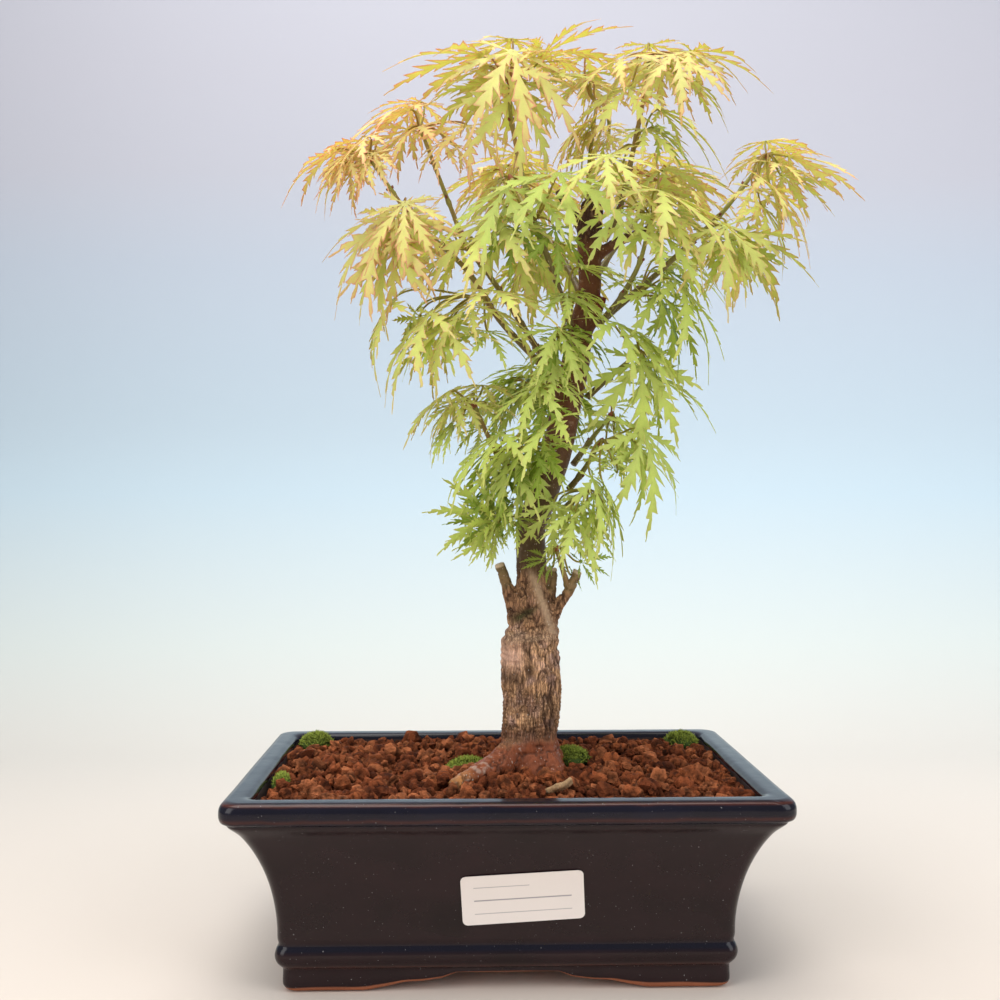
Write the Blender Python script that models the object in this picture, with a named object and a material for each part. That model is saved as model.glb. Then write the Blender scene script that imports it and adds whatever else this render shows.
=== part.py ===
"""Bonsai tree in a pot: a cut-leaf maple in a glazed, footed, rectangular ceramic pot.

Sizes are in millimetres here and become metres as each mesh is made. X runs along the pot, Y from
front to back and Z up. Everything is modelled from the middle of the pot on the ground, and the
last step moves the whole model so that its origin lies under the middle of its outline.
"""

import math
from typing import NamedTuple

import bmesh
import bpy
from mathutils import Matrix, Vector
from mathutils.bvhtree import BVHTree

MM = 0.001
GAP = 0.3  # between two pieces that touch

# Pot
POT_LENGTH = 230.0
POT_DEPTH = 162.0
POT_HEIGHT = 82.0
RIM_WIDTH = 11.5
RIM_LIP = 9.4
WAIST_INSET = 20.5  # from the rim's outer face to the wall just above the base band
WAIST_FULLNESS = 0.6  # how soon below the lip the wall sweeps in
BAND_TOP = 21.0
FOOT_INSET = 22.5
FOOT_HEIGHT = 10.0
FOOT_CHAMFER = 2.2
FOOT_WIDTH = 13.0
FLOOR_UNDERSIDE = 7.4
FLOOR_THICKNESS = 7.0
WALL = 8.0
CORNER = 7.0
ARCH_LENGTH = 120.0  # cut-out between the feet, front and back
ARCH_LENGTH_SIDE = 76.0
ARCH_SHOULDER = ((0.39, 1.0), (0.45, 0.62), (0.73, 0.45), (0.87, 0.22), (1.0, 0.0))  # shares of each
DRAIN_DIAMETER = 14.0
DRAIN_SPACING = 90.0

# Drain screens and their clips
SCREEN_SIDE = 30.0
SCREEN_THICKNESS = 1.2
SCREEN_HOLES = 4
SCREEN_BAR = 2.0
CLIP_WIRE = 1.2
CLIP_REACH = 12.0

# Label on the front wall
LABEL_LENGTH = 50.0
LABEL_HEIGHT = 21.0
LABEL_THICKNESS = 0.4
LABEL_X = 6.0
LABEL_Z = 39.5
LABEL_TURN = 3.3
LABEL_CORNER = 2.0
LABEL_STAND = 0.25  # keeps the flat stretches of the label off the hollow of the wall

# Soil, moss and bark chip
SOIL_BELOW_RIM = 4.0
SOIL_MOUND = 2.5
SOIL_BUMP = 0.7
MOSS_SINK = 1.5

# Tree
TRUNK_X = 12.0
TRUNK_Y = 0.0
TREE_SCALE = 1.0
TRUNK_GIRTH = 1.0
LEAF_SCALE = 1.0
LEAF_THICKNESS = 0.9
PETIOLE_RADIUS = 0.75
SHOOT_BASE_RADIUS = 1.9
SHOOT_TIP_RADIUS = 0.9
SHOOT_SIDES = 6
BEAD_RADIUS = 1.9  # where the petioles of a tuft meet
COLLAR_THICKNESS = 0.8  # half of the ring from which a pair of leaves grows
PETIOLE_RISE = 2.0  # how steeply a petiole leaves the shoot
PETIOLE_LEAD = 2.5  # a petiole's first stretch, where it may touch its own shoot
ROOT_BALL_DEPTH = 42.0
ROOT_BALL_RADIUS = 20.0

LOBES = ((0, 1.0), (34, 0.93), (70, 0.74), (114, 0.46))  # turn from the heading and share of length
LOBE_HALF_WIDTH = 0.10
SINUS_REACH = 0.13
BLADE_DROOP = 0.22


class Leaf(NamedTuple):
    """One leaf: the middle of its blade from the trunk's foot, and how it hangs."""

    x: float
    y: float
    z: float
    heading: float
    pitch: float
    roll: float
    length: float


class Spray(NamedTuple):
    """Leaves that leave a shoot together, at a share of its length (1 is its tip)."""

    place: float
    leaves: tuple


class Shoot(NamedTuple):
    """A young stem: its course from the trunk's foot, and its sprays of leaves."""

    name: str
    course: tuple
    sprays: tuple


class Patch(NamedTuple):
    """Something that lies on the soil: what it is measured from, its place and its size."""

    anchor: str
    x: float
    y: float
    half_x: float
    half_y: float
    height: float


# Trunk: height above the soil, x and y from the trunk's foot, radius
TRUNK = (
    (-2, 0, 0, 17), (4, 0, 0, 14.6), (13, 0, 0, 13.3), (28, 1, 0, 13.5), (43, 1, 0, 13.9),
    (54, 1, 0, 13.2), (60, 3, 0, 11.2), (74, 2, 0, 10.4), (82, 1, 0, 7.4), (94, 1, 0, 7.1),
    (108, 1, 0, 6.8), (126, 7, 0, 7.1), (145, 13, 0, 7.2), (163, 17, 0, 6.9), (182, 21, 0, 6.8),
    (200, 24, 0, 5.9), (218, 28, 0, 5.3), (237, 28, 0, 5.5), (252, 29, 0, 5.4), (260, 29, 0, 4.8),
)

# Surface roots and stubs: course from the trunk's foot, with radii
ROOTS = (
    (((-4, -4, 6), (-12, -14, 3), (-24, -28, 1), (-35, -42, -1)), (8.0, 5.6, 4.2, 3.0)),
    (((4, -6, 6), (10, -14, 1), (14, -20, -2)), (8.0, 6.0, 4.0)),
    (((6, 3, 6), (17, 6, 1), (26, 9, -2)), (7.5, 5.0, 3.0)),
    (((-6, 3, 6), (-16, 6, 1), (-24, 8, -3)), (7.5, 5.0, 3.0)),
    (((0, 6, 6), (-3, 17, 1), (-6, 26, -2)), (7.5, 5.0, 3.0)),
)
STUBS = (
    (((-5, 0, 66), (-8, -1, 80), (-14, -2, 91)), (4.6, 3.2, 2.3)),
    (((8, 2, 66), (10, 4, 77), (11, 5, 86)), (4.2, 2.8, 2.3)),
    (((9, -1, 62), (14, -3, 72), (22, -5, 85)), (3.8, 2.6, 2.0)),
    (((5, 0, 117), (-1, -2, 125), (-3, -3, 132)), (3.0, 2.2, 1.7)),
    (((24, 0, 196), (30, -2, 204), (34, -3, 215)), (3.0, 2.2, 1.9)),
    (((16, 0, 170), (10, -3, 175), (8, -4, 180)), (2.8, 2.0, 1.6)),
    (((28, 0, 236), (24, 2, 250), (14, 4, 266)), (3.4, 2.8, 2.0)),
    (((28, 0, 232), (40, -2, 240), (56, -6, 246)), (3.2, 2.4, 1.6)),
)

# Moss and a chip of wood: what x and y are measured from, x, y, half length, half depth, height.
# From the walls they count inwards from the rim's inner faces, on the side that their sign gives.
MOSS = {
    "moss_back_left": Patch("walls", -10.5, 10.5, 8, 8, 6.0),
    "moss_back_right": Patch("walls", 10.5, 9.5, 8, 7, 5.0),
    "moss_left_wall": Patch("walls", -5.5, -45.5, 3.2, 9, 3.5),
    "moss_right_of_trunk": Patch("trunk", 26, 21, 8, 7, 4.0),
    "moss_left_of_trunk": Patch("trunk", -25, -3, 7.5, 5, 3.0),
}
CHIP = Patch("trunk", 10, -50, 6, 2.4, 3.2)

SHOOTS = (
    Shoot("crown_left", ((19, -6, 201), (9, -14, 227), (0, -20, 250), (-9, -28, 286), (-10, -30, 303)), (
        Spray(1.0, (
            Leaf(-9, -20, 327, 100, 5, 0, 44),
            Leaf(-9, -38, 314, -75, -55, 0, 52),
            Leaf(-21, -32, 315, 162, 2, 0, 50),
            Leaf(5, -18, 321, -27, 23, 0, 44),
        )),
        Spray(0.45, (
            Leaf(11, -40, 261, -85, -35, 0, 48),
            Leaf(-12, -34, 256, 239, -42, 0, 44),
        )),
    )),
    Shoot("crown_back", ((29, 8, 247), (29, 14, 267), (31, 20, 293), (34, 24, 313)), (
        Spray(1.0, (
            Leaf(29, 8, 300, 183, -32, 0, 36),
            Leaf(38, 12, 299, -139, -20, 0, 22),
            Leaf(29, 26, 338, 80, 8, 0, 44),
        )),
    )),
    Shoot("crown_right", ((35, 2, 242), (41, 0, 253), (45, -4, 269), (53, -10, 310), (54, -12, 322)), (
        Spray(1.0, (
            Leaf(40, -22, 318, 224, -25, 0, 44),
            Leaf(64, -22, 320, -84, -40, 0, 40),
            Leaf(75, -6, 328, -5, -10, 0, 42),
            Leaf(58, 12, 338, 75, -7, 0, 40),
        )),
        Spray(0.5, (
            Leaf(58, -20, 296, -20, -25, 0, 44),
            Leaf(36, -20, 276, 200, -25, 0, 34),
        )),
    )),
    Shoot("right_long", ((34, 4, 205), (58, -2, 225), (81, -6, 246), (90, -8, 255), (108, -8, 278)), (
        Spray(1.0, (
            Leaf(112, 4, 290, 60, 5, 0, 34),
            Leaf(118, -12, 278, -5, -12, 0, 40),
            Leaf(103, -26, 263, -25, -38, 0, 42),
        )),
        Spray(0.62, (
            Leaf(85, -32, 241, -95, -58, 0, 40),
            Leaf(94, -22, 240, 38, -18, 0, 46),
        )),
        Spray(0.16, (
            Leaf(65, -22, 218, -30, -48, 0, 48),
            Leaf(69, 26, 240, 8, -20, 0, 40),
        )),
    )),
    Shoot("right_inner", ((32, -6, 202), (41, -12, 213), (49, -16, 228), (53, -20, 245)), (
        Spray(1.0, (
            Leaf(54, -40, 254, -50, -26, 0, 54),
            Leaf(30, -50, 266, -100, -35, 0, 38),
            Leaf(59, -20, 269, 40, 8, 0, 42),
        )),
    )),
    Shoot("right_mid", ((27, 2, 169), (36, 0, 177), (49, -4, 188)), (
        Spray(1.0, (
            Leaf(38, -24, 199, -40, -32, 0, 46),
            Leaf(58, 0, 179, -8, -22, 0, 38),
            Leaf(49, -18, 183, -81, -72, 0, 46),
        )),
    )),
    Shoot("right_low", ((18, -4, 126), (24, -8, 134), (31, -12, 146)), (
        Spray(1.0, (
            Leaf(51, -14, 152, -51, -66, 0, 48),
            Leaf(36, -22, 138, 94, 52, 0, 22),
            Leaf(26, -30, 130, -25, -56, 0, 44),
        )),
    )),
    Shoot("right_front", ((14, -8, 115), (18, -14, 120), (24, -20, 124)), (
        Spray(1.0, (
            Leaf(26, -34, 122, -30, -64, 0, 29),
            Leaf(17, -36, 115, -45, -50, 0, 34),
            Leaf(9, -32, 119, -76, -89, 0, 28),
        )),
    )),
    Shoot("right_rear", ((21, 6, 138), (30, 12, 150), (39, 16, 161)), (
        Spray(1.0, (
            Leaf(41, 22, 167, 80, 35, 0, 20),
            Leaf(42, 14, 160, -49, -38, 0, 44),
            Leaf(48, 34, 148, 8, -20, 0, 38),
        )),
    )),
    Shoot("left_low", ((-2, -2, 125), (-9, -5, 136), (-16, -7, 143), (-20, -8, 152), (-25, -8, 163)), (
        Spray(1.0, (
            Leaf(-37, -12, 170, 190, -30, 0, 34),
            Leaf(-22, 8, 175, 110, -5, 0, 28),
        )),
        Spray(0.5, (
            Leaf(-14, -26, 150, 205, -32, 0, 46),
            Leaf(10, -34, 156, 195, -32, 0, 44),
        )),
    )),
    Shoot("left_fan", ((5, -8, 113), (-5, -14, 110), (-11, -18, 112)), (
        Spray(1.0, (
            Leaf(-18, -22, 115, 180, 5, 75, 32),
            Leaf(-8, -26, 121, 215, -28, 0, 19),
        )),
    )),
    Shoot("left_long", ((12, -3, 177), (-13, -8, 202), (-29, -8, 226), (-54, -8, 250), (-72, -8, 275)), (
        Spray(1.0, (
            Leaf(-88, -10, 280, 188, -28, 0, 38),
            Leaf(-73, -22, 282, 215, -35, 0, 30),
            Leaf(-74, 10, 290, 140, -5, 0, 36),
        )),
        Spray(0.8, (
            Leaf(-56, -28, 251, -100, -60, 0, 36),
            Leaf(-66, -14, 250, 241, -58, 0, 54),
        )),
        Spray(0.38, (
            Leaf(-63, -6, 212, 195, -54, 0, 40),
            Leaf(-45, -20, 204, 205, -45, 0, 50),
            Leaf(-19, -28, 213, -70, -13, 0, 42),
        )),
    )),
    Shoot("left_upper", ((11, 4, 181), (-16, 10, 224), (-29, 10, 241), (-36, 10, 258), (-50, 4, 293)), (
        Spray(1.0, (
            Leaf(-55, -6, 300, 208, -14, 0, 42),
            Leaf(-51, 16, 311, 130, 0, 0, 38),
            Leaf(-29, -8, 292, -80, -45, 0, 34),
        )),
        Spray(0.55, (
            Leaf(-17, -24, 246, 241, -36, 0, 52),
            Leaf(-42, 28, 253, 160, -20, 0, 42),
        )),
    )),
    Shoot("front_mid", ((21, -7, 190), (18, -13, 194), (15, -17, 196)), (
        Spray(1.0, (
            Leaf(11, -28, 196, -72, -40, 0, 34),
            Leaf(3, -26, 171, 240, -26, 0, 36),
            Leaf(21, -26, 224, -20, -5, 0, 32),
        )),
    )),
    Shoot("basal_sprout", ((18, -4, 80), (15, -7, 89), (12, -9, 98)), (
        Spray(1.0, (
            Leaf(8, -12, 94, 185, 10, 50, 15),
            Leaf(23, -8, 93, 5, 15, 60, 17),
        )),
    )),
    Shoot("back_left", ((25, 8, 218), (17, 28, 241), (3, 46, 265), (-6, 56, 286)), (
        Spray(1.0, (
            Leaf(-15, 70, 295, 170, -15, 0, 46),
            Leaf(-3, 78, 306, 95, -15, 0, 44),
            Leaf(9, 66, 291, 40, -10, 0, 40),
        )),
        Spray(0.45, (
            Leaf(-2, 50, 241, 150, -40, 0, 46),
            Leaf(19, 56, 253, 70, -35, 0, 42),
        )),
    )),
    Shoot("back_right", ((30, 10, 223), (43, 30, 244), (58, 46, 265), (70, 56, 285)), (
        Spray(1.0, (
            Leaf(87, 66, 292, 15, -18, 0, 44),
            Leaf(71, 78, 306, 85, -15, 0, 44),
            Leaf(54, 66, 296, 140, 2, 0, 40),
        )),
    )),
    Shoot("back_low", ((16, 8, 152), (13, 26, 167), (5, 40, 178)), (
        Spray(1.0, (
            Leaf(-7, 50, 183, 165, -35, 0, 42),
            Leaf(3, 56, 190, 110, -8, 0, 40),
            Leaf(21, 54, 183, 30, -30, 0, 38),
        )),
    )),)


# ---------------------------------------------------------------- mesh helpers


def new_object(name, points, faces, colour, roughness):
    """An object from points in millimetres, faces pointing out, with its own material."""
    mesh = bpy.data.meshes.new(name)
    mesh.from_pydata([tuple(c * MM for c in p) for p in points], [], faces)
    body = bmesh.new()
    body.from_mesh(mesh)
    bmesh.ops.recalc_face_normals(body, faces=body.faces)
    bmesh.ops.triangulate(body, faces=body.faces)
    body.to_mesh(mesh)
    body.free()
    made = bpy.data.objects.new(name, mesh)
    bpy.context.scene.collection.objects.link(made)
    material = bpy.data.materials.new(name)
    material.use_nodes = True
    shader = material.node_tree.nodes["Principled BSDF"]
    shader.inputs["Base Color"].default_value = (*colour, 1.0)
    shader.inputs["Roughness"].default_value = roughness
    shader.inputs["Metallic"].default_value = 0.0
    mesh.materials.append(material)
    return made


def join(body, other, operation):
    """A Boolean on body with the solid other, which is only a tool from here on."""
    other.hide_render = True
    other.display_type = "WIRE"
    step = body.modifiers.new(other.name, "BOOLEAN")
    step.operation = operation
    step.object = other


def tool(name, points, faces):
    """A solid that only cuts or joins others."""
    return new_object(name, points, faces, (0.5, 0.5, 0.5), 0.5)


def stacked(rings, closed=False):
    """Faces that bridge rings of equal size, with an end face on the first and the last."""
    count = len(rings[0])
    points = [point for ring in rings for point in ring]
    faces = []
    for level in range(len(rings) - 1):
        low, high = level * count, (level + 1) * count
        for i in range(count):
            j = (i + 1) % count
            faces.append((low + i, low + j, high + j, high + i))
    if not closed:
        faces.append(tuple(reversed(range(count))))
        faces.append(tuple(range(len(points) - count, len(points))))
    return points, faces


def smooth_course(course, steps):
    """Points on a Catmull-Rom curve through the course, steps of them to each stretch."""
    knots = [Vector(p) for p in course]
    knots = [2 * knots[0] - knots[1]] + knots + [2 * knots[-1] - knots[-2]]
    points = []
    for a, b, c, d in zip(knots, knots[1:], knots[2:], knots[3:]):
        for k in range(steps):
            t = k / steps
            points.append(
                0.5 * (2 * b + (c - a) * t + (2 * a - 5 * b + 4 * c - d) * t**2
                       + (3 * b - a - 3 * c + d) * t**3)
            )
    points.append(knots[-2])
    return points


def tube_rings(points, radii, sides):
    """Rings of a round tube along points, kept from twisting by carrying one side along."""
    ahead = (points[1] - points[0]).normalized()
    across = ahead.orthogonal().normalized()
    rings = []
    for i, point in enumerate(points):
        after = points[min(i + 1, len(points) - 1)]
        before = points[max(i - 1, 0)]
        ahead = (after - before).normalized()
        across = (across - ahead * across.dot(ahead)).normalized()
        up = ahead.cross(across)
        ring = []
        for k in range(sides):
            turn = math.tau * k / sides
            ring.append(point + radii[i] * (math.cos(turn) * across + math.sin(turn) * up))
        rings.append(ring)
    return rings


def tube(course, radii, sides, steps):
    """Points and faces of a tapered tube along a smooth course."""
    points = smooth_course(course, steps)
    spread = []
    for i in range(len(points)):
        place = i / steps
        low = min(int(place), len(radii) - 2)
        spread.append(radii[low] + (radii[low + 1] - radii[low]) * (place - low))
    return stacked(tube_rings(points, spread, sides))


def solid_tree(points, faces):
    """A search tree of a solid's faces, to find what would touch it."""
    return BVHTree.FromPolygons([tuple(p) for p in points], [tuple(f) for f in faces])


def evaluated_tree(made):
    """The same for an object with its modifiers done, in millimetres."""
    shown = made.evaluated_get(bpy.context.evaluated_depsgraph_get())
    mesh = shown.to_mesh()
    points = [tuple(v.co / MM) for v in mesh.vertices]
    faces = [tuple(p.vertices) for p in mesh.polygons]
    shown.to_mesh_clear()
    return solid_tree(points, faces)


# ---------------------------------------------------------------- pot


def rounded_ring(half_x, half_y, corner, height):
    """A rectangle with round corners, five points to a corner, at one height."""
    ring = []
    for quarter, (sx, sy) in enumerate(((1, 1), (-1, 1), (-1, -1), (1, -1))):
        for k in range(5):
            turn = math.radians(90 * quarter + 22.5 * k)
            ring.append((
                sx * (half_x - corner) + corner * math.cos(turn),
                sy * (half_y - corner) + corner * math.sin(turn),
                height,
            ))
    return ring


def wall_inset(height):
    """How far the outer wall stands in from the rim's face at a height above the base band."""
    top = POT_HEIGHT - RIM_LIP
    share = (top - height) / (top - BAND_TOP)
    return WAIST_INSET * math.sin(min(max(share, 0.0), 1.0) * math.pi / 2) ** WAIST_FULLNESS


def outer_profile():
    """Inset and height of the pot's outside from the ground to the top of the rim."""
    profile = [
        (FOOT_INSET + FOOT_CHAMFER, 0.0), (FOOT_INSET, FOOT_CHAMFER), (FOOT_INSET, FOOT_HEIGHT),
        (WAIST_INSET + 0.6, FOOT_HEIGHT + 1.6), (WAIST_INSET - 0.3, FOOT_HEIGHT + 5.0),
        (WAIST_INSET + 0.4, BAND_TOP - 2.6),
    ]
    top = POT_HEIGHT - RIM_LIP
    for k in range(9):
        height = BAND_TOP + (top - BAND_TOP) * k / 8
        profile.append((max(wall_inset(height), 1.4), height))
    profile += [
        (0.0, top + 2.6), (0.0, POT_HEIGHT - 3.2), (0.8, POT_HEIGHT - 1.2), (2.6, POT_HEIGHT),
    ]
    return profile


def inner_profile():
    """Inset and height of the pot's inside from the rim down to the floor."""
    floor = FLOOR_UNDERSIDE + FLOOR_THICKNESS
    profile = [(RIM_WIDTH - 1.5, POT_HEIGHT), (RIM_WIDTH, POT_HEIGHT - 1.5)]
    shoulder = POT_HEIGHT - RIM_LIP - 4.0
    for k in range(4):
        height = shoulder + (BAND_TOP - shoulder) * k / 3
        profile.append((max(wall_inset(height) + WALL, RIM_WIDTH), height))
    profile.append((WAIST_INSET + WALL + 3.0, floor))
    return profile


def inner_inset(height):
    """How far the inner wall stands in from the rim's face at a height."""
    profile = inner_profile()
    for (high_inset, high), (low_inset, low) in zip(profile, profile[1:]):
        if low <= height < high:
            return low_inset + (high_inset - low_inset) * (height - low) / (high - low)
    return profile[0][0]


def pot_rings(profile, grow=0.0):
    """Rings of the pot's plan along a profile, each corner as round as its inset allows."""
    rings = []
    for inset, height in profile:
        corner = max(CORNER - 0.1 * inset, 2.0)
        half_x = POT_LENGTH / 2 - inset + grow
        half_y = POT_DEPTH / 2 - inset + grow
        rings.append(rounded_ring(half_x, half_y, corner, height))
    return rings


def block(name, low, high):
    """A box between two corners, as a tool."""
    rings = []
    for height in (low[2], high[2]):
        rings.append([
            (low[0], low[1], height), (high[0], low[1], height),
            (high[0], high[1], height), (low[0], high[1], height),
        ])
    return tool(name, *stacked(rings))


def arch(name, length, along_x):
    """The cut-out between two feet: wide at the ground, with rounded shoulders."""
    half, rise = length / 2, FLOOR_UNDERSIDE
    shoulder = [(u * half, v * rise) for u, v in ARCH_SHOULDER]
    outline = [(-u, v) for u, v in reversed(shoulder)] + shoulder
    outline += [(half, -1.0), (-half, -1.0)]
    reach = POT_LENGTH if along_x else POT_DEPTH
    rings = []
    for end in (-reach, reach):
        if along_x:
            rings.append([(end, u, v) for u, v in outline])
        else:
            rings.append([(u, end, v) for u, v in outline])
    return tool(name, *stacked(rings))


def drain_places():
    """The x of each drain hole."""
    return {"left": -DRAIN_SPACING / 2, "right": DRAIN_SPACING / 2}


def make_pot():
    """The glazed shell with its flared lip, base band, four feet and two drain holes."""
    rings = pot_rings(outer_profile() + inner_profile())
    pot = new_object("pot", *stacked(rings), (0.02, 0.02, 0.05), 0.15)
    inset = FOOT_INSET + FOOT_WIDTH
    half_x, half_y = POT_LENGTH / 2 - inset, POT_DEPTH / 2 - inset
    recess = block("foot_recess", (-half_x, -half_y, -1.0), (half_x, half_y, FLOOR_UNDERSIDE))
    join(pot, recess, "DIFFERENCE")
    join(pot, arch("foot_arch_front", ARCH_LENGTH, False), "DIFFERENCE")
    join(pot, arch("foot_arch_side", ARCH_LENGTH_SIDE, True), "DIFFERENCE")
    for side, x in drain_places().items():
        rings = []
        for height in (FLOOR_UNDERSIDE - 2.0, FLOOR_UNDERSIDE + FLOOR_THICKNESS + 2.0):
            ring = []
            for k in range(20):
                turn = math.tau * k / 20
                radius = DRAIN_DIAMETER / 2
                ring.append((x + radius * math.cos(turn), radius * math.sin(turn), height))
            rings.append(ring)
        join(pot, tool(f"drain_hole_{side}", *stacked(rings)), "DIFFERENCE")
    return pot


def make_screen(side, x):
    """A square plastic lattice over a drain hole."""
    pitch = SCREEN_SIDE / SCREEN_HOLES
    lines = [-SCREEN_SIDE / 2]
    for k in range(SCREEN_HOLES):
        start = -SCREEN_SIDE / 2 + k * pitch
        lines += [start + SCREEN_BAR / 2, start + pitch - SCREEN_BAR / 2]
    lines.append(SCREEN_SIDE / 2)
    count = len(lines)
    low = FLOOR_UNDERSIDE + FLOOR_THICKNESS + GAP
    points = []
    for height in (low, low + SCREEN_THICKNESS):
        points += [(x + u, v, height) for v in lines for u in lines]

    def filled(i, j):
        inside = 0 <= i < count - 1 and 0 <= j < count - 1
        return inside and not (i % 2 == 1 and j % 2 == 1)

    top, faces = count * count, []
    for j in range(count - 1):
        for i in range(count - 1):
            if not filled(i, j):
                continue
            corners = [j * count + i, j * count + i + 1, (j + 1) * count + i + 1, (j + 1) * count + i]
            faces.append(tuple(reversed(corners)))
            faces.append(tuple(top + c for c in corners))
            beside = ((i, j - 1), (i + 1, j), (i, j + 1), (i - 1, j))
            for k, (ni, nj) in enumerate(beside):
                if not filled(ni, nj):
                    a, b = corners[k], corners[(k + 1) % 4]
                    faces.append((a, b, top + b, top + a))
    return new_object(f"drain_screen_{side}", points, faces, (0.04, 0.04, 0.04), 0.6)


def make_clip(side, x):
    """A wire staple over the screen, its legs through the drain hole and turned out below."""
    radius = CLIP_WIRE / 2
    leg = SCREEN_SIDE / SCREEN_HOLES / 2
    low = FLOOR_UNDERSIDE - GAP - radius
    high = FLOOR_UNDERSIDE + FLOOR_THICKNESS + GAP + SCREEN_THICKNESS + GAP + radius
    half = [(0.5, high), (leg - 1, high), (leg, high - 1), (leg, low + 1), (leg + 1, low), (CLIP_REACH, low)]
    course = [(-u, z) for u, z in reversed(half)] + half
    points = [Vector((x + u, leg, z)) for u, z in course]
    rings = tube_rings(points, [radius] * len(points), 6)
    return new_object(f"screen_clip_{side}", *stacked(rings), (0.5, 0.5, 0.5), 0.35)


def make_label():
    """A thin paper label that follows the curve of the front wall, turned a little."""
    turn = math.radians(LABEL_TURN)
    columns, rows = 6, 6
    layers = []
    for lift in (GAP, GAP + LABEL_THICKNESS):
        points = []
        for r in range(rows + 1):
            v = (r / rows - 0.5) * LABEL_HEIGHT
            half = LABEL_LENGTH / 2 - (LABEL_CORNER if r in (0, rows) else 0.0)
            for c in range(columns + 1):
                u = (2 * c / columns - 1) * half
                x = LABEL_X + u * math.cos(turn) - v * math.sin(turn)
                z = LABEL_Z + u * math.sin(turn) + v * math.cos(turn)
                points.append((x, -(POT_DEPTH / 2 - wall_inset(z)) - lift - LABEL_STAND, z))
        layers.append(points)
    points = layers[0] + layers[1]
    top, wide, faces = len(layers[0]), columns + 1, []
    for r in range(rows):
        for c in range(columns):
            corners = (r * wide + c, r * wide + c + 1, (r + 1) * wide + c + 1, (r + 1) * wide + c)
            faces.append(corners)
            faces.append(tuple(top + i for i in reversed(corners)))
    edge = list(range(wide)) + [r * wide + columns for r in range(1, rows + 1)]
    edge += [rows * wide + c for c in range(columns - 1, -1, -1)]
    edge += [r * wide for r in range(rows - 1, 0, -1)]
    for a, b in zip(edge, edge[1:] + edge[:1]):
        faces.append((a, b, top + b, top + a))
    return new_object("label", points, faces, (0.85, 0.83, 0.78), 0.7)


# ---------------------------------------------------------------- soil and what lies on it


def soil_level():
    """The height of the soil at the pot's wall."""
    return POT_HEIGHT - SOIL_BELOW_RIM


def soil_top(x, y):
    """The soil's height: a low mound with gentle bumps."""
    u, v = 2 * x / POT_LENGTH, 2 * y / POT_DEPTH
    mound = SOIL_MOUND * (1 - u * u) * (1 - v * v)
    bump = math.sin(x * 0.21 + 1.0) * math.cos(y * 0.27) + math.sin(x * 0.11 - y * 0.15)
    return soil_level() + mound + SOIL_BUMP * bump


def make_soil():
    """The bed of soil, which fills the pot with a small clearance to its walls."""
    walls = [p for p in inner_profile() if p[1] < soil_level() - 3 * SOIL_BUMP]
    rings = pot_rings(reversed(walls), -GAP)
    floor = FLOOR_UNDERSIDE + FLOOR_THICKNESS + GAP
    rings[0] = [(x, y, floor) for x, y, _ in rings[0]]
    edge = pot_rings([(inner_inset(soil_level() - 3 * SOIL_BUMP), soil_level())], -GAP)[0]
    rings.append([(x, y, soil_top(x, y)) for x, y, _ in edge])
    for share in (0.88, 0.74, 0.6, 0.46, 0.32, 0.18, 0.07):
        rings.append([(x * share, y * share, soil_top(x * share, y * share)) for x, y, _ in edge])
    soil = new_object("soil_bed", *stacked(rings), (0.25, 0.09, 0.04), 0.95)
    for side, x in drain_places().items():
        half, rise = SCREEN_SIDE / 2 + GAP, SCREEN_THICKNESS + CLIP_WIRE + 3 * GAP
        low = (x - half, -half, floor - 2.0)
        join(soil, block(f"screen_pocket_{side}", low, (x + half, half, floor + rise)), "DIFFERENCE")
    return soil


def pebble(x, y, level, half_x, half_y, height, grow=0.0):
    """A dome with a flat foot sunk a little into the soil."""
    low = level - MOSS_SINK - grow
    rings = []
    for share, rise in ((0.85, 0.0), (1.0, 0.35), (0.86, 0.72), (0.5, 0.95)):
        ring = []
        for k in range(12):
            turn = math.tau * k / 12
            wave = 1 + 0.08 * math.sin(3 * turn + x)
            ring.append((
                x + (half_x * share * wave + grow) * math.cos(turn),
                y + (half_y * share * wave + grow) * math.sin(turn),
                low + (height + MOSS_SINK + 2 * grow) * rise,
            ))
        rings.append(ring)
    return stacked(rings)


def patch_place(patch):
    """The middle of a patch, which moves with the walls or the trunk that it lies against."""
    if patch.anchor == "trunk":
        girth = TREE_SCALE * TRUNK_GIRTH
        return TRUNK_X + patch.x * girth, TRUNK_Y + patch.y * girth
    x = POT_LENGTH / 2 - RIM_WIDTH - abs(patch.x)
    y = POT_DEPTH / 2 - RIM_WIDTH - abs(patch.y)
    return math.copysign(x, patch.x), math.copysign(y, patch.y)


def lay_on_soil(name, soil, patch, colour, roughness):
    """A patch of moss or a chip, and the hollow it lies in."""
    x, y = patch_place(patch)
    size = (x, y, soil_top(x, y), patch.half_x, patch.half_y, patch.height)
    join(soil, tool(f"{name}_hollow", *pebble(*size, GAP)), "DIFFERENCE")
    return new_object(name, *pebble(*size), colour, roughness)


# ---------------------------------------------------------------- tree


def tree_point(point):
    """A point given from the trunk's foot, in the pot's frame."""
    x, y, z = point
    foot = soil_top(TRUNK_X, TRUNK_Y)
    return Vector((TRUNK_X + x * TREE_SCALE, TRUNK_Y + y * TREE_SCALE, foot + z * TREE_SCALE))


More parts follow.
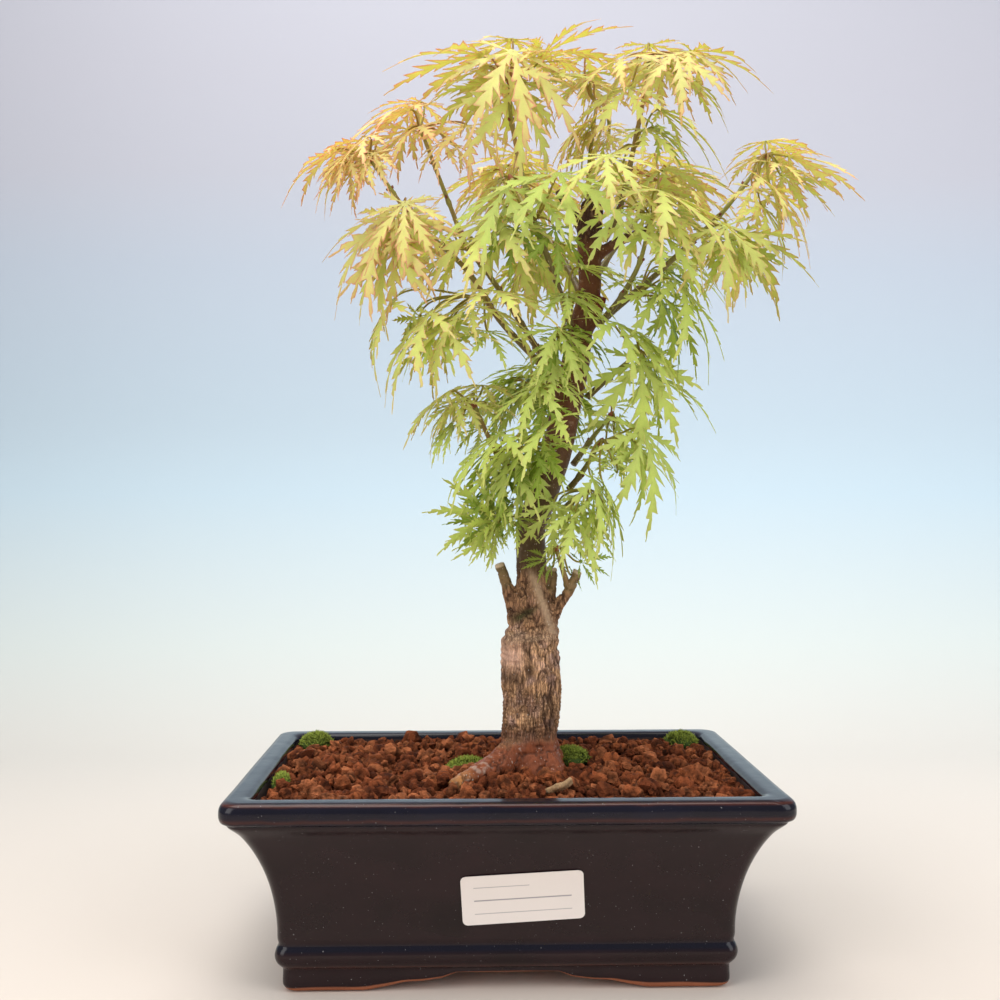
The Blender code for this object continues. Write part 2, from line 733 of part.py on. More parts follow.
def trunk_parts(grow=0.0):
    """Points and faces of the trunk's own stretches, made thicker all round by grow."""
    girth = TREE_SCALE * TRUNK_GIRTH
    course = [tree_point((x, y, z)) for z, x, y, _ in TRUNK]
    parts = {"trunk": tube(course, [r * girth + grow for *_, r in TRUNK], 12, 1)}
    for i, (line, radii) in enumerate(ROOTS):
        course = [tree_point(p) for p in line]
        parts[f"root_{i}"] = tube(course, [r * girth + grow for r in radii], 8, 1)
    for i, (line, radii) in enumerate(STUBS):
        course = [tree_point(p) for p in line]
        parts[f"stub_{i}"] = tube(course, [r * girth + grow for r in radii], 6, 1)
    foot = tree_point((0, 0, 0))
    rings = []
    for share, drop in ((0.8, ROOT_BALL_DEPTH + grow), (1.0, 9.0), (0.7, -1.0)):
        ring = []
        for k in range(12):
            turn = math.tau * k / 12
            radius = ROOT_BALL_RADIUS * share + grow
            ring.append((foot.x + radius * math.cos(turn), foot.y + radius * math.sin(turn), foot.z - drop))
        rings.append(ring)
    parts["root_ball"] = stacked(rings)
    return parts


def make_trunk(soil):
    """The grown wood: trunk, root ball, surface roots and cut stubs, and its place in the soil."""
    parts = trunk_parts()
    trunk = new_object("trunk", *parts.pop("trunk"), (0.30, 0.18, 0.11), 0.8)
    for name, (points, faces) in parts.items():
        join(trunk, tool(f"{name}_shape", points, faces), "UNION")
    for name, (points, faces) in trunk_parts(GAP).items():
        if not name.startswith("stub"):
            join(soil, tool(f"{name}_bed", points, faces), "DIFFERENCE")
    return trunk


def shoot_radii(count):
    """Radii of a shoot from its foot to its tip."""
    step = (SHOOT_TIP_RADIUS - SHOOT_BASE_RADIUS) / (count - 1)
    return [SHOOT_BASE_RADIUS + step * k for k in range(count)]


def shoot_body(shoot, trunk_tree):
    """A shoot's points and faces, its foot drawn back along its course until it clears the wood."""
    points = smooth_course([tree_point(p) for p in shoot.course], 2)
    radii = shoot_radii(len(points))
    while True:
        body = stacked(tube_rings(points, [r + GAP for r in radii], SHOOT_SIDES))
        if not solid_tree(*body).overlap(trunk_tree) or len(points) < 4:
            break
        ahead = points[1] - points[0]
        if ahead.length < 1.0:
            points, radii = points[1:], radii[1:]
        else:
            points[0] = points[0] + ahead.normalized() * GAP
    return points, radii, stacked(tube_rings(points, radii, SHOOT_SIDES))


def blade_frame(leaf, turn, tilt):
    """The heading, side and face directions of a leaf's blade."""
    heading, pitch = math.radians(leaf.heading + turn), math.radians(leaf.pitch + tilt)
    ahead = Vector((
        math.cos(heading) * math.cos(pitch), math.sin(heading) * math.cos(pitch), math.sin(pitch),
    ))
    side = Vector((-math.sin(heading), math.cos(heading), 0.0))
    roll = Matrix.Rotation(math.radians(leaf.roll), 3, ahead)
    side = roll @ side
    return ahead, side, ahead.cross(side)


def leaf_body(leaf, start, turn, tilt, shrink, grow=0.0, bare=False):
    """A leaf as one closed body: blade, and a petiole that runs into it from the start point.

    The blade is a star of lobes, each a thin lens with a rib, that droops with the square of the
    distance from its middle. The petiole's last ring is the blade's own middle.
    """
    ahead, side, face = blade_frame(leaf, turn, tilt)
    length = leaf.length * LEAF_SCALE * TREE_SCALE * shrink + grow
    middle = tree_point((leaf.x, leaf.y, leaf.z))
    thick = LEAF_THICKNESS / 2 + grow

    def place(angle, reach, lift):
        flat = reach * length
        along, across = flat * math.cos(angle), flat * math.sin(angle)
        drop = BLADE_DROOP * length * reach * reach
        return middle + ahead * along + side * across + face * (lift - drop)

    angles = sorted([-math.radians(a) for a, _ in LOBES[1:]] + [math.radians(a) for a, _ in LOBES])
    reaches = {round(math.radians(a), 4): share for a, share in LOBES}
    points = [middle + face * thick, middle - face * thick]
    back = math.pi - 0.35
    points += [place(-back, 0.07, 0.0), place(back, 0.07, 0.0)]
    faces, previous = [], 2
    for k, angle in enumerate(angles):
        reach = reaches[round(abs(angle), 4)]
        spread = math.atan2(LOBE_HALF_WIDTH + grow / length, 0.5)
        last = k == len(angles) - 1
        between = 0 if last else (angle + angles[k + 1]) / 2
        at = len(points)
        points += [
            place(angle - spread, reach * 0.55, 0.0), place(angle, reach, 0.0),
            place(angle + spread, reach * 0.55, 0.0), place(angle, reach * 0.5, thick),
        ]
        following = 3 if last else at + 4
        if not last:
            points.append(place(between, SINUS_REACH, 0.0))
        outline = (previous, at, at + 1, at + 2, following)
        ring = (0,) + outline
        faces += [(at + 3, a, b) for a, b in zip(ring, ring[1:] + ring[:1])]
        faces += [(1, b, a) for a, b in zip(outline, outline[1:])]
        previous = following
    rings = []
    if bare:
        return points, faces + [(0, 3, 1, 2)]
    pull = (middle - start).length / 3
    handle_a = start + Vector((middle.x - start.x, middle.y - start.y, PETIOLE_RISE)).normalized() * pull
    handle_b = middle - ahead * pull
    for t in (0.0, 0.5):
        s = 1 - t
        rings.append(s**3 * start + 3 * s * s * t * handle_a + 3 * s * t * t * handle_b + t**3 * middle)
    radius = PETIOLE_RADIUS + grow
    first = len(points)
    for i, centre in enumerate(rings):
        after = rings[i + 1] if i + 1 < len(rings) else middle
        along = (after - centre).normalized()
        over = (face - along * face.dot(along)).normalized()
        right = along.cross(over)
        points += [centre + over * radius, centre + right * radius, centre - over * radius,
                   centre - right * radius]
    faces.append((first, first + 1, first + 2, first + 3))
    levels = [tuple(first + 4 * i + k for k in range(4)) for i in range(len(rings))]
    levels.append((0, 2, 1, 3))
    for low, high in zip(levels, levels[1:]):
        for k in range(4):
            faces.append((low[k], low[(k + 1) % 4], high[(k + 1) % 4], high[k]))
    return points, faces


def candidate_poses():
    """Small changes of a leaf's heading, pitch and size, the least first."""
    poses = []
    for shrink in (1.0, 0.85, 0.7, 0.55):
        for turn in (0, 12, -12, 24, -24, 38, -38, 54, -54, 75, -75):
            for tilt in (0, 12, -12, 24, -24, 38):
                poses.append((abs(turn) + abs(tilt) + 400 * (1 - shrink), turn, tilt, shrink))
    return [pose[1:] for pose in sorted(poses)]


def bead_body(centre, radius):
    """A small six-sided bead where petioles meet."""
    rings = []
    for rise, share in ((-1.0, 0.35), (0.0, 1.0), (1.0, 0.35)):
        ring = []
        for k in range(6):
            turn = math.tau * k / 6
            ring.append(centre + radius * Vector((share * math.cos(turn), share * math.sin(turn), rise)))
        rings.append(ring)
    return stacked(rings)


def collar_body(centre, ahead, inner, thick):
    """A ring round a shoot, from which a pair of leaves grows."""
    across = ahead.orthogonal().normalized()
    up = ahead.cross(across)
    rings = []
    for k in range(8):
        turn = math.tau * k / 8
        out = math.cos(turn) * across + math.sin(turn) * up
        rings.append([
            centre + out * inner - ahead * thick, centre + out * (inner + 2 * thick) - ahead * thick,
            centre + out * (inner + 2 * thick) + ahead * thick, centre + out * inner + ahead * thick,
        ])
    rings.append(rings[0])
    points, faces = stacked(rings, closed=True)
    last = len(points) - 4
    return points[:last], [tuple(i % last for i in face) for face in faces]


def make_spray(name, spray, points, radii, solids):
    """The leaves that leave a shoot at one place, joined at a bead or a collar."""
    if spray.place >= 1.0:
        ahead = (points[-1] - points[-2]).normalized()
        centre = points[-1] + ahead * (BEAD_RADIUS + GAP)
        base = bead_body(centre, BEAD_RADIUS)
        ring = 0.0
    else:
        k = min(max(round(spray.place * (len(points) - 1)), 1), len(points) - 2)
        centre = (points[k] + points[k + 1]) / 2
        ahead = (points[k + 1] - points[k]).normalized()
        inner = (radii[k] + 2 * GAP) / math.cos(math.pi / 8)
        base = collar_body(centre, ahead, inner, COLLAR_THICKNESS)
        ring = inner + COLLAR_THICKNESS
    placed = []
    bodies = []
    for leaf in spray.leaves:
        middle = tree_point((leaf.x, leaf.y, leaf.z))
        away = middle - centre
        away = (away - ahead * away.dot(ahead)).normalized() if ring else Vector((0, 0, 0))
        start = centre + away * ring
        for turn, tilt, shrink in candidate_poses():
            test = solid_tree(*leaf_body(leaf, start + (middle - start).normalized() * PETIOLE_LEAD,
                                         turn, tilt, shrink, GAP))
            blade = solid_tree(*leaf_body(leaf, start, turn, tilt, shrink, GAP, True))
            if any(test.overlap(other) for other in solids):
                continue
            if any(blade.overlap(mate) for mate in placed):
                continue
            break
        body = leaf_body(leaf, start, turn, tilt, shrink)
        bodies.append(body)
        placed.append(solid_tree(*body))
    colour = (0.55, 0.62, 0.12)
    made = new_object(name, *base, colour, 0.5)
    for i, body in enumerate(bodies):
        join(made, tool(f"{name}_leaf_{i}", *body), "UNION")
    solids.append(solid_tree(*base))
    solids += placed
    return made


def make_tree(trunk):
    """All shoots first, then their sprays of leaves, each turned until it clears the rest."""
    trunk_tree = evaluated_tree(trunk)
    solids = [trunk_tree]
    grown = []
    for shoot in SHOOTS:
        points, radii, body = shoot_body(shoot, trunk_tree)
        new_object(f"shoot_{shoot.name}", *body, (0.30, 0.28, 0.08), 0.5)
        solids.append(solid_tree(*body))
        grown.append((shoot, points, radii))
    for shoot, points, radii in grown:
        for k, spray in enumerate(shoot.sprays):
            make_spray(f"leaves_{shoot.name}_{k + 1}", spray, points, radii, solids)


# ---------------------------------------------------------------- the whole


def centre_outline():
    """Moves every object so that the origin lies under the middle of the whole outline."""
    graph = bpy.context.evaluated_depsgraph_get()
    corners = []
    for item in bpy.context.scene.objects:
        if item.type == "MESH" and not item.hide_render:
            corners += [Vector(c) for c in item.evaluated_get(graph).bound_box]
    low = Vector(min(c[i] for c in corners) for i in range(3))
    high = Vector(max(c[i] for c in corners) for i in range(3))
    shift = Matrix.Translation((-(low.x + high.x) / 2, -(low.y + high.y) / 2, -low.z))
    for item in bpy.context.scene.objects:
        item.data.transform(shift)


def main():
    """Builds the pot and its contents, then the tree."""
    for item in list(bpy.data.objects):
        bpy.data.objects.remove(item, do_unlink=True)
    make_pot()
    for side, x in drain_places().items():
        make_screen(side, x)
        make_clip(side, x)
    make_label()
    soil = make_soil()
    for name, patch in MOSS.items():
        lay_on_soil(name, soil, patch, (0.10, 0.22, 0.03), 0.9)
    lay_on_soil("wood_chip", soil, CHIP, (0.40, 0.28, 0.15), 0.85)
    trunk = make_trunk(soil)
    make_tree(trunk)
    centre_outline()


main()
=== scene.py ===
"""A cut-leaf maple bonsai in a glazed, footed pot: its visible surfaces, built round the frame.

Sizes are in millimetres from the middle of the pot on the ground, X along the pot, Y to the back
and Z up, and become metres in the frame's own place as each piece is finished.
"""

from __future__ import annotations

import logging
import math
from collections.abc import Sequence
from dataclasses import dataclass, field
from enum import Enum

import bpy
import numpy as np
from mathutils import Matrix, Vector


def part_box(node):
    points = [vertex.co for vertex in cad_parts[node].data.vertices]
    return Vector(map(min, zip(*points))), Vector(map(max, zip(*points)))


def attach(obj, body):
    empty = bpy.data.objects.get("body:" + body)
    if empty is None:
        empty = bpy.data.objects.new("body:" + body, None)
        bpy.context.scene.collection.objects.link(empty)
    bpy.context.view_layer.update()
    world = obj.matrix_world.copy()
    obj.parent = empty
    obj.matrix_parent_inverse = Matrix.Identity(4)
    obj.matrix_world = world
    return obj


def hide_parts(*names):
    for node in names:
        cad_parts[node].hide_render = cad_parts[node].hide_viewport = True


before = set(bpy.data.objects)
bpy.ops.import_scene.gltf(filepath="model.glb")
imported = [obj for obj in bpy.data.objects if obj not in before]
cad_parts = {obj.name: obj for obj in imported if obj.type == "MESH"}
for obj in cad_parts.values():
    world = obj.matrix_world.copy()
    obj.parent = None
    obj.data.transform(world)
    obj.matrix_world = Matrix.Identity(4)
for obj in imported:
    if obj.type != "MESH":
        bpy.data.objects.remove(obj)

MM = 0.001
LOG = logging.getLogger("bonsai")
Array = np.ndarray
Colour = tuple[float, float, float]
Socket = bpy.types.NodeSocket
Material = bpy.types.Material
Line = tuple[tuple[float, float, float], ...]


# --- number work


def value_noise(points: Array, size: float, seed: int) -> Array:
    """Smooth noise: random numbers on a cubic lattice, blended inside each cell by 3t^2 - 2t^3.

    Args:
        points: Places of any leading shape, with three coordinates last.
        size: Side of a lattice cell.
        seed: Chooses the numbers on the lattice.

    Returns:
        One number from -1 to 1 for each place.
    """
    cells = points / size
    low = np.floor(cells).astype(np.int64)
    part = cells - low
    blend = part * part * (3.0 - 2.0 * part)
    total = np.zeros(points.shape[:-1])
    for corner in range(8):
        step = np.array([(corner >> axis) & 1 for axis in range(3)])
        at = low + step
        mixed = at[..., 0] * 374761393 + at[..., 1] * 668265263 + at[..., 2] * 1442695041
        mixed = (mixed + seed * 974634777) & 0xFFFFFFFF
        mixed = ((mixed ^ (mixed >> 13)) * 1274126177) & 0xFFFFFFFF
        value = ((mixed ^ (mixed >> 16)) & 0xFFFF) / 32767.5 - 1.0
        weight = np.where(step == 1, blend, 1.0 - blend).prod(axis=-1)
        total += weight * value
    return total


def layered_noise(points: Array, size: float, seed: int, layers: int = 3) -> Array:
    """Sum of value noise whose cells and strength halve with each layer, kept near -1 to 1.

    Args:
        points: Places of any leading shape, with three coordinates last.
        size: Side of the first layer's lattice cell.
        seed: Chooses the numbers on the lattices.
        layers: How many layers are summed.

    Returns:
        One number for each place.
    """
    total = np.zeros(points.shape[:-1])
    for layer in range(layers):
        total += 0.5**layer * value_noise(points, size / 2**layer, seed + 17 * layer)
    return total / 1.5


def bell(value: Array, middle: Array | float, width: float) -> Array:
    """1 at the middle, falling to either side as e to the minus (distance / width) squared."""
    return np.exp(-(((value - middle) / width) ** 2))


def ramp(value: Array, low: float, high: float) -> Array:
    """0 below low, 1 above high, and a smooth step between them."""
    share = np.clip((value - low) / (high - low), 0.0, 1.0)
    return share * share * (3.0 - 2.0 * share)


def mix(first: Array, second: Array, share: Array) -> Array:
    """First where share is 0 and second where it is 1, colour by colour."""
    share = np.asarray(share)[..., None]
    return np.asarray(first) * (1.0 - share) + np.asarray(second) * share


def unit(vectors: Array) -> Array:
    """Vectors at length 1."""
    return vectors / np.maximum(np.linalg.norm(vectors, axis=-1, keepdims=True), 1e-9)


def smooth_course(course: Sequence[Sequence[float]], steps: int) -> Array:
    """Points on a Catmull-Rom curve: a cubic through the course with tangents along its chords.

    Args:
        course: Three or more numbers for each knot; all are blended alike.
        steps: Points for each stretch between two knots.

    Returns:
        The curve's points, with the last knot.
    """
    knots = np.asarray(course, float)
    knots = np.vstack([2 * knots[0] - knots[1], knots, 2 * knots[-1] - knots[-2]])
    share = (np.arange(steps) / steps)[None, :, None]
    a, b, c, d = (knots[k:len(knots) - 3 + k, None, :] for k in range(4))
    cubic = 2 * b + (c - a) * share + (2 * a - 5 * b + 4 * c - d) * share**2
    cubic = 0.5 * (cubic + (3 * b - a - 3 * c + d) * share**3)
    return np.vstack([cubic.reshape(-1, knots.shape[1]), knots[-2]])


def carried_frames(points: Array) -> tuple[Array, Array]:
    """Two directions across a path at each of its points, carried along so that they don't twist.

    Args:
        points: The path, one row for each point.

    Returns:
        The across and the up directions.
    """
    ahead = unit(np.gradient(points, axis=0))
    start = np.array([1.0, 0.0, 0.0]) if abs(ahead[0, 2]) > 0.9 else np.array([0.0, 0.0, 1.0])
    across = np.empty_like(points)
    side = np.cross(ahead[0], start)
    for i, direction in enumerate(ahead):
        side = side - direction * side.dot(direction)
        side = side / np.linalg.norm(side)
        across[i] = side
    return across, np.cross(ahead, across)


def tube(points: Array, radii: Array, sides: int) -> Array:
    """A round tube: at each path point a circle of its radius across the path.

    Args:
        points: The path.
        radii: One radius for each point, or one for each point and side.
        sides: Points round the tube.

    Returns:
        A grid of rings along the path.
    """
    across, up = carried_frames(points)
    turn = np.arange(sides) * (math.tau / sides)
    radii = np.asarray(radii, float).reshape(len(points), -1)
    around = across[:, None] * np.cos(turn)[None, :, None] + up[:, None] * np.sin(turn)[None, :, None]
    return points[:, None] + around * radii[:, :, None]


# --- pieces


@dataclass(frozen=True)
class Site:
    """Where the pot stands in the frame, and its outer size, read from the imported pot."""

    centre_x: float
    centre_y: float
    length: float
    depth: float
    height: float

    @classmethod
    def from_frame(cls) -> Site:
        """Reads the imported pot's box.

        Returns:
            The site, in millimetres.
        """
        low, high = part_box("pot")
        return cls(
            centre_x=(low[0] + high[0]) / 2 / MM,
            centre_y=(low[1] + high[1]) / 2 / MM,
            length=(high[0] - low[0]) / MM,
            depth=(high[1] - low[1]) / MM,
            height=(high[2] - low[2]) / MM,
        )


SITE = Site.from_frame()


class Body:
    """One piece in the making: its points, faces and tints."""

    def __init__(self, name: str) -> None:
        """Starts an empty piece.

        Args:
            name: The name of the finished object.
        """
        self.name = name
        self.points: list[Array] = []
        self.tints: list[Array] = []
        self.faces: list[Array] = []
        self.count = 0

    def add(self, points: Array, tint: Array, faces: Sequence[Array]) -> None:
        """Adds points with their faces.

        Args:
            points: Places, one row each.
            tint: A colour and a bareness for each point, or one for all.
            faces: Index arrays with one row for each face, counted from these points.
        """
        self.points.append(points)
        self.tints.append(np.broadcast_to(np.asarray(tint, float), (len(points), 4)))
        self.faces += [group + self.count for group in faces]
        self.count += len(points)

    def bridge(self, faces: Array) -> None:
        """Adds faces between points that are already there, counted from the first of them."""
        self.faces.append(faces)

    def grid(self, points: Array, tint: Array, wrap: bool = True, ends: bool = True) -> None:
        """Adds a grid of quads.

        Args:
            points: Rows of rings, three coordinates last.
            tint: A colour and a bareness for each grid point, or one for all.
            wrap: Joins each ring's last point to its first.
            ends: Closes the first and the last ring with a fan round its middle.
        """
        rows, columns = points.shape[:2]
        index = np.arange(rows * columns).reshape(rows, columns)
        beside = np.roll(index, -1, axis=1) if wrap else index[:, 1:]
        here = index if wrap else index[:, :-1]
        quads = np.stack([here[:-1], beside[:-1], beside[1:], here[1:]], axis=-1).reshape(-1, 4)
        flat = points.reshape(-1, 3)
        tint = np.broadcast_to(np.asarray(tint, float), (rows, columns, 4)).reshape(-1, 4)
        groups = [quads]
        if ends:
            flat = np.vstack([flat, points[0].mean(axis=0), points[-1].mean(axis=0)])
            tint = np.vstack([tint, tint[:columns].mean(axis=0), tint[-columns:].mean(axis=0)])
            first = np.full(columns, rows * columns)
            after = np.roll(index, -1, axis=1)
            groups.append(np.stack([after[0], index[0], first], axis=-1))
            groups.append(np.stack([index[-1], after[-1], first + 1], axis=-1))
        self.add(flat, tint, groups)

    def finish(self, finishes: Sequence[Material], sharp: float = 180.0) -> bpy.types.Object:
        """Makes the mesh and its object.

        Args:
            finishes: The material of each slot.
            sharp: The angle in degrees past which an edge isn't shaded smooth.

        Returns:
            The object, at the origin, with its place in its mesh.
        """
        points = np.vstack(self.points) + (SITE.centre_x, SITE.centre_y, 0.0)
        tints = np.vstack(self.tints)
        loops = np.concatenate([group.reshape(-1) for group in self.faces])
        sizes = np.concatenate([np.full(len(g), g.shape[1]) for g in self.faces])
        mesh = bpy.data.meshes.new(f"{self.name}_detail")
        mesh.vertices.add(len(points))
        mesh.vertices.foreach_set("co", (points * MM).astype(np.float32).reshape(-1))
        mesh.loops.add(len(loops))
        mesh.loops.foreach_set("vertex_index", loops.astype(np.int32))
        mesh.polygons.add(len(sizes))
        mesh.polygons.foreach_set("loop_start", (np.cumsum(sizes) - sizes).astype(np.int32))
        mesh.update(calc_edges=True)
        mesh.validate()
        layer = mesh.color_attributes.new("tint", "FLOAT_COLOR", "POINT")
        layer.data.foreach_set("color", tints.astype(np.float32).reshape(-1))
        for material in finishes:
            mesh.materials.append(material)
        mesh.shade_smooth()
        if sharp < 180.0:
            mesh.set_sharp_from_angle(angle=math.radians(sharp))
        made = bpy.data.objects.new(f"{self.name}_detail", mesh)
        bpy.context.scene.collection.objects.link(made)
        LOG.info("%s: %d points, %d faces", self.name, len(points), len(sizes))
        return made


def settle(piece: bpy.types.Object, slot: str, *nodes: str) -> None:
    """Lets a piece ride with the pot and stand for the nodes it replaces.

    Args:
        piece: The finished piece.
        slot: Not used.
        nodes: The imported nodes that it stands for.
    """
    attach(piece, "root")
    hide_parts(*nodes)


def tinted(colour: Sequence[float] | Array, bare: float | Array = 0.0) -> Array:
    """Colours with their bareness behind them, as tints."""
    colour = np.asarray(colour, float)
    return np.concatenate([colour, np.broadcast_to(bare, colour.shape[:-1])[..., None]], axis=-1)


# --- finishes


@dataclass(frozen=True)
class Finish:
    """A surface whose colour comes from the piece's tint, worked over by two sizes of noise.

    Colour is the tint times (1 + mottle * broad noise + grain * fine noise). Roughness goes from
    the first value to the second as the tint's bareness goes from 0 to 1. The bump is fine noise
    plus broad noise, in millimetres.
    """

    name: str
    roughness: tuple[float, float] = (0.6, 0.8)
    mottle: float = 0.15
    mottle_size: float = 8.0
    grain: float = 0.10
    grain_size: float = 0.8
    bump: float = 0.05
    broad_bump: float = 0.0
    speckle: Colour = (0.5, 0.4, 0.3)
    speckle_share: float = 0.0
    speckle_size: float = 1.2
    speckle_edge: tuple[float, float] = (0.72, 0.78)
    stretch: float = 1.0
    specular: float = 0.5
    through: float = 0.0
    through_colour: Colour = (1.0, 1.0, 1.0)
    plain: Colour | None = None
    crack: float = 0.0
    crack_size: float = 2.4
    crack_colour: Colour = (0.050, 0.024, 0.015)
    crack_depth: float = 0.6

    def build(self) -> Material:
        """The material, as nodes on Object coordinates and the piece's tint.

        Returns:
            The new material.
        """
        recipe = Recipe(self.name)
        place = spot = recipe.add("ShaderNodeTexCoord").outputs["Object"]
        stretched = recipe.add("ShaderNodeMapping")
        stretched.inputs["Scale"].default_value = (1.0, 1.0, 1.0 / self.stretch)
        recipe.join(place, stretched.inputs["Vector"])
        place = stretched.outputs["Vector"]
        tint = recipe.add("ShaderNodeAttribute", attribute_name="tint")
        broad = recipe.noise(place, self.mottle_size, 3.0)
        fine = recipe.noise(place, self.grain_size, 4.0)
        shades = ((broad, 2 * self.mottle), (fine, 2 * self.grain))
        light = recipe.sum_of(shades, 1 - self.mottle - self.grain)
        start = tint.outputs["Color"]
        if self.plain is not None:
            start = recipe.add("ShaderNodeRGB").outputs[0]
            start.default_value = (*self.plain, 1.0)
        colour = recipe.scaled_colour(start, light)
        if self.speckle_share != 0:
            spots = recipe.noise(place, self.speckle_size, 1.0)
            low, high = (edge - self.speckle_share for edge in self.speckle_edge)
            mask = recipe.span(spots, low, high, 0.0, 1.0)
            colour = recipe.mixed(mask, colour, self.speckle)
        terms = [(fine, self.bump * MM), (broad, self.broad_bump * MM)]
        if self.crack > 0:
            split = recipe.cracks(spot, self.crack_size)
            bare = recipe.span(tint.outputs["Alpha"], 0.0, 0.5, self.crack, 0.0)
            split = recipe.product(split, bare)
            # The cracks darken towards crack_colour: partly the darker inner bark, partly painted shade in
            # the splits.
            colour = recipe.mixed(split, colour, self.crack_colour)
            terms.append((split, -self.crack_depth * MM))
        shader = recipe.shader
        recipe.join(colour, shader.inputs["Base Color"])
        rough = recipe.span(tint.outputs["Alpha"], 0.0, 1.0, *self.roughness)
        recipe.join(rough, shader.inputs["Roughness"])
        shader.inputs["Specular IOR Level"].default_value = self.specular
        height = recipe.sum_of(terms, 0.0)
        bump = recipe.add("ShaderNodeBump")
        bump.inputs["Distance"].default_value = 1.0
        recipe.join(height, bump.inputs["Height"])
        recipe.join(bump.outputs["Normal"], shader.inputs["Normal"])
        if self.through > 0:
            recipe.let_light_through(colour, self.through, self.through_colour)
        return recipe.material


class Recipe:
    """A material's node tree, put together one node at a time.

    Cracks wander over lengths of wander_size cells; their cells are one over crack_shortness as
    long as wide, and they are crack_width of a cell wide.
    """

    wander_size = 1.5
    crack_shortness = 0.13
    crack_width = 0.20
    mix_share, mix_first, mix_second, mix_result = 0, 6, 7, 2

    def __init__(self, name: str) -> None:
        """Starts from a plain Principled shader.

        Args:
            name: The material's name.
        """
        self.material = bpy.data.materials.new(name)
        self.material.use_nodes = True
        self.nodes = self.material.node_tree.nodes
        self.shader = self.nodes["Principled BSDF"]

    def add(self, kind: str, **settings: object) -> bpy.types.Node:
        """Adds a node.

        Args:
            kind: The node's type.
            settings: What its own properties are set to.

        Returns:
            The node.
        """
        node = self.nodes.new(kind)
        for key, value in settings.items():
            setattr(node, key, value)
        return node

    def join(self, out: Socket, into: Socket) -> None:
        """A link from one socket to another."""
        self.material.node_tree.links.new(out, into)

    def noise(self, place: Socket, size: float, detail: float) -> Socket:
        """Adds noise.

        Args:
            place: Where it is read.
            size: The size of its features, in millimetres.
            detail: How many finer layers it has.

        Returns:
            Its value.
        """
        node = self.add("ShaderNodeTexNoise")
        node.inputs["Scale"].default_value = 1.0 / (size * MM)
        node.inputs["Detail"].default_value = detail
        self.join(place, node.inputs["Vector"])
        return node.outputs["Fac"]

    def sum_of(
        self, terms: Sequence[tuple[Socket, float]], start: float
    ) -> Socket:
        """Adds up a start value and each term.

        Args:
            terms: Values, each with its factor.
            start: What they are added to.

        Returns:
            The sum.
        """
        total = None
        for socket, factor in terms:
            node = self.add("ShaderNodeMath", operation="MULTIPLY_ADD")
            self.join(socket, node.inputs[0])
            node.inputs[1].default_value = factor
            if total is None:
                node.inputs[2].default_value = start
            else:
                self.join(total, node.inputs[2])
            total = node.outputs[0]
        return total

    def span(
        self, socket: Socket, low: float, high: float, at_low: float, at_high: float
    ) -> Socket:
        """Takes a value smoothly from one range to another and holds it at the ends.

        Args:
            socket: The value.
            low: Where the range starts.
            high: Where the range ends.
            at_low: What the value becomes at and below its start.
            at_high: What the value becomes at and above its end.

        Returns:
            The new value.
        """
        node = self.add("ShaderNodeMapRange", interpolation_type="SMOOTHSTEP")
        self.join(socket, node.inputs["Value"])
        for name, value in zip(("From Min", "From Max", "To Min", "To Max"), (low, high, at_low, at_high)):
            node.inputs[name].default_value = value
        return node.outputs["Result"]

    def product(self, first: Socket, second: Socket) -> Socket:
        """Multiplies two values.

        Args:
            first: One value.
            second: The other.

        Returns:
            Their product.
        """
        node = self.add("ShaderNodeMath", operation="MULTIPLY")
        self.join(first, node.inputs[0])
        self.join(second, node.inputs[1])
        return node.outputs[0]

    def cracks(self, place: Socket, size: float) -> Socket:
        """Narrow upright cracks: a bent Voronoi pattern's edges, stretched along the height.

        Args:
            place: Where it is read.
            size: The width of a cell, in millimetres; cells are about eight times as long.

        Returns:
            1 in the cracks and 0 on the cells.
        """
        wander = self.add("ShaderNodeTexNoise")
        wander.inputs["Scale"].default_value = 1.0 / (self.wander_size * size * MM)
        self.join(place, wander.inputs["Vector"])
        bent = self.add("ShaderNodeVectorMath", operation="MULTIPLY_ADD")
        self.join(wander.outputs["Color"], bent.inputs[0])
        bent.inputs[1].default_value = (size * MM,) * 3
        self.join(place, bent.inputs[2])
        upright = self.add("ShaderNodeMapping")
        upright.inputs["Scale"].default_value = (1.0, 1.0, self.crack_shortness)
        self.join(bent.outputs[0], upright.inputs["Vector"])
        cells = self.add("ShaderNodeTexVoronoi", feature="DISTANCE_TO_EDGE")
        cells.inputs["Scale"].default_value = 1.0 / (size * MM)
        self.join(upright.outputs["Vector"], cells.inputs["Vector"])
        return self.span(cells.outputs["Distance"], 0.0, self.crack_width, 1.0, 0.0)

    def scaled_colour(
        self, colour: Socket, light: Socket
    ) -> Socket:
        """Makes a colour lighter or darker.

        Args:
            colour: The colour.
            light: What it is multiplied by.

        Returns:
            The new colour.
        """
        node = self.add("ShaderNodeVectorMath", operation="SCALE")
        self.join(colour, node.inputs[0])
        self.join(light, node.inputs["Scale"])
        return node.outputs["Vector"]

    def mixed(
        self, share: Socket, first: Socket, second: Colour
    ) -> Socket:
        """Blends a colour with a fixed one.

        Args:
            share: How much of the second colour shows.
            first: The first colour.
            second: The fixed one.

        Returns:
            The blended colour.
        """
        node = self.add("ShaderNodeMix", data_type="RGBA")
        self.join(share, node.inputs[self.mix_share])
        self.join(first, node.inputs[self.mix_first])
        node.inputs[self.mix_second].default_value = (*second, 1.0)
        return node.outputs[self.mix_result]

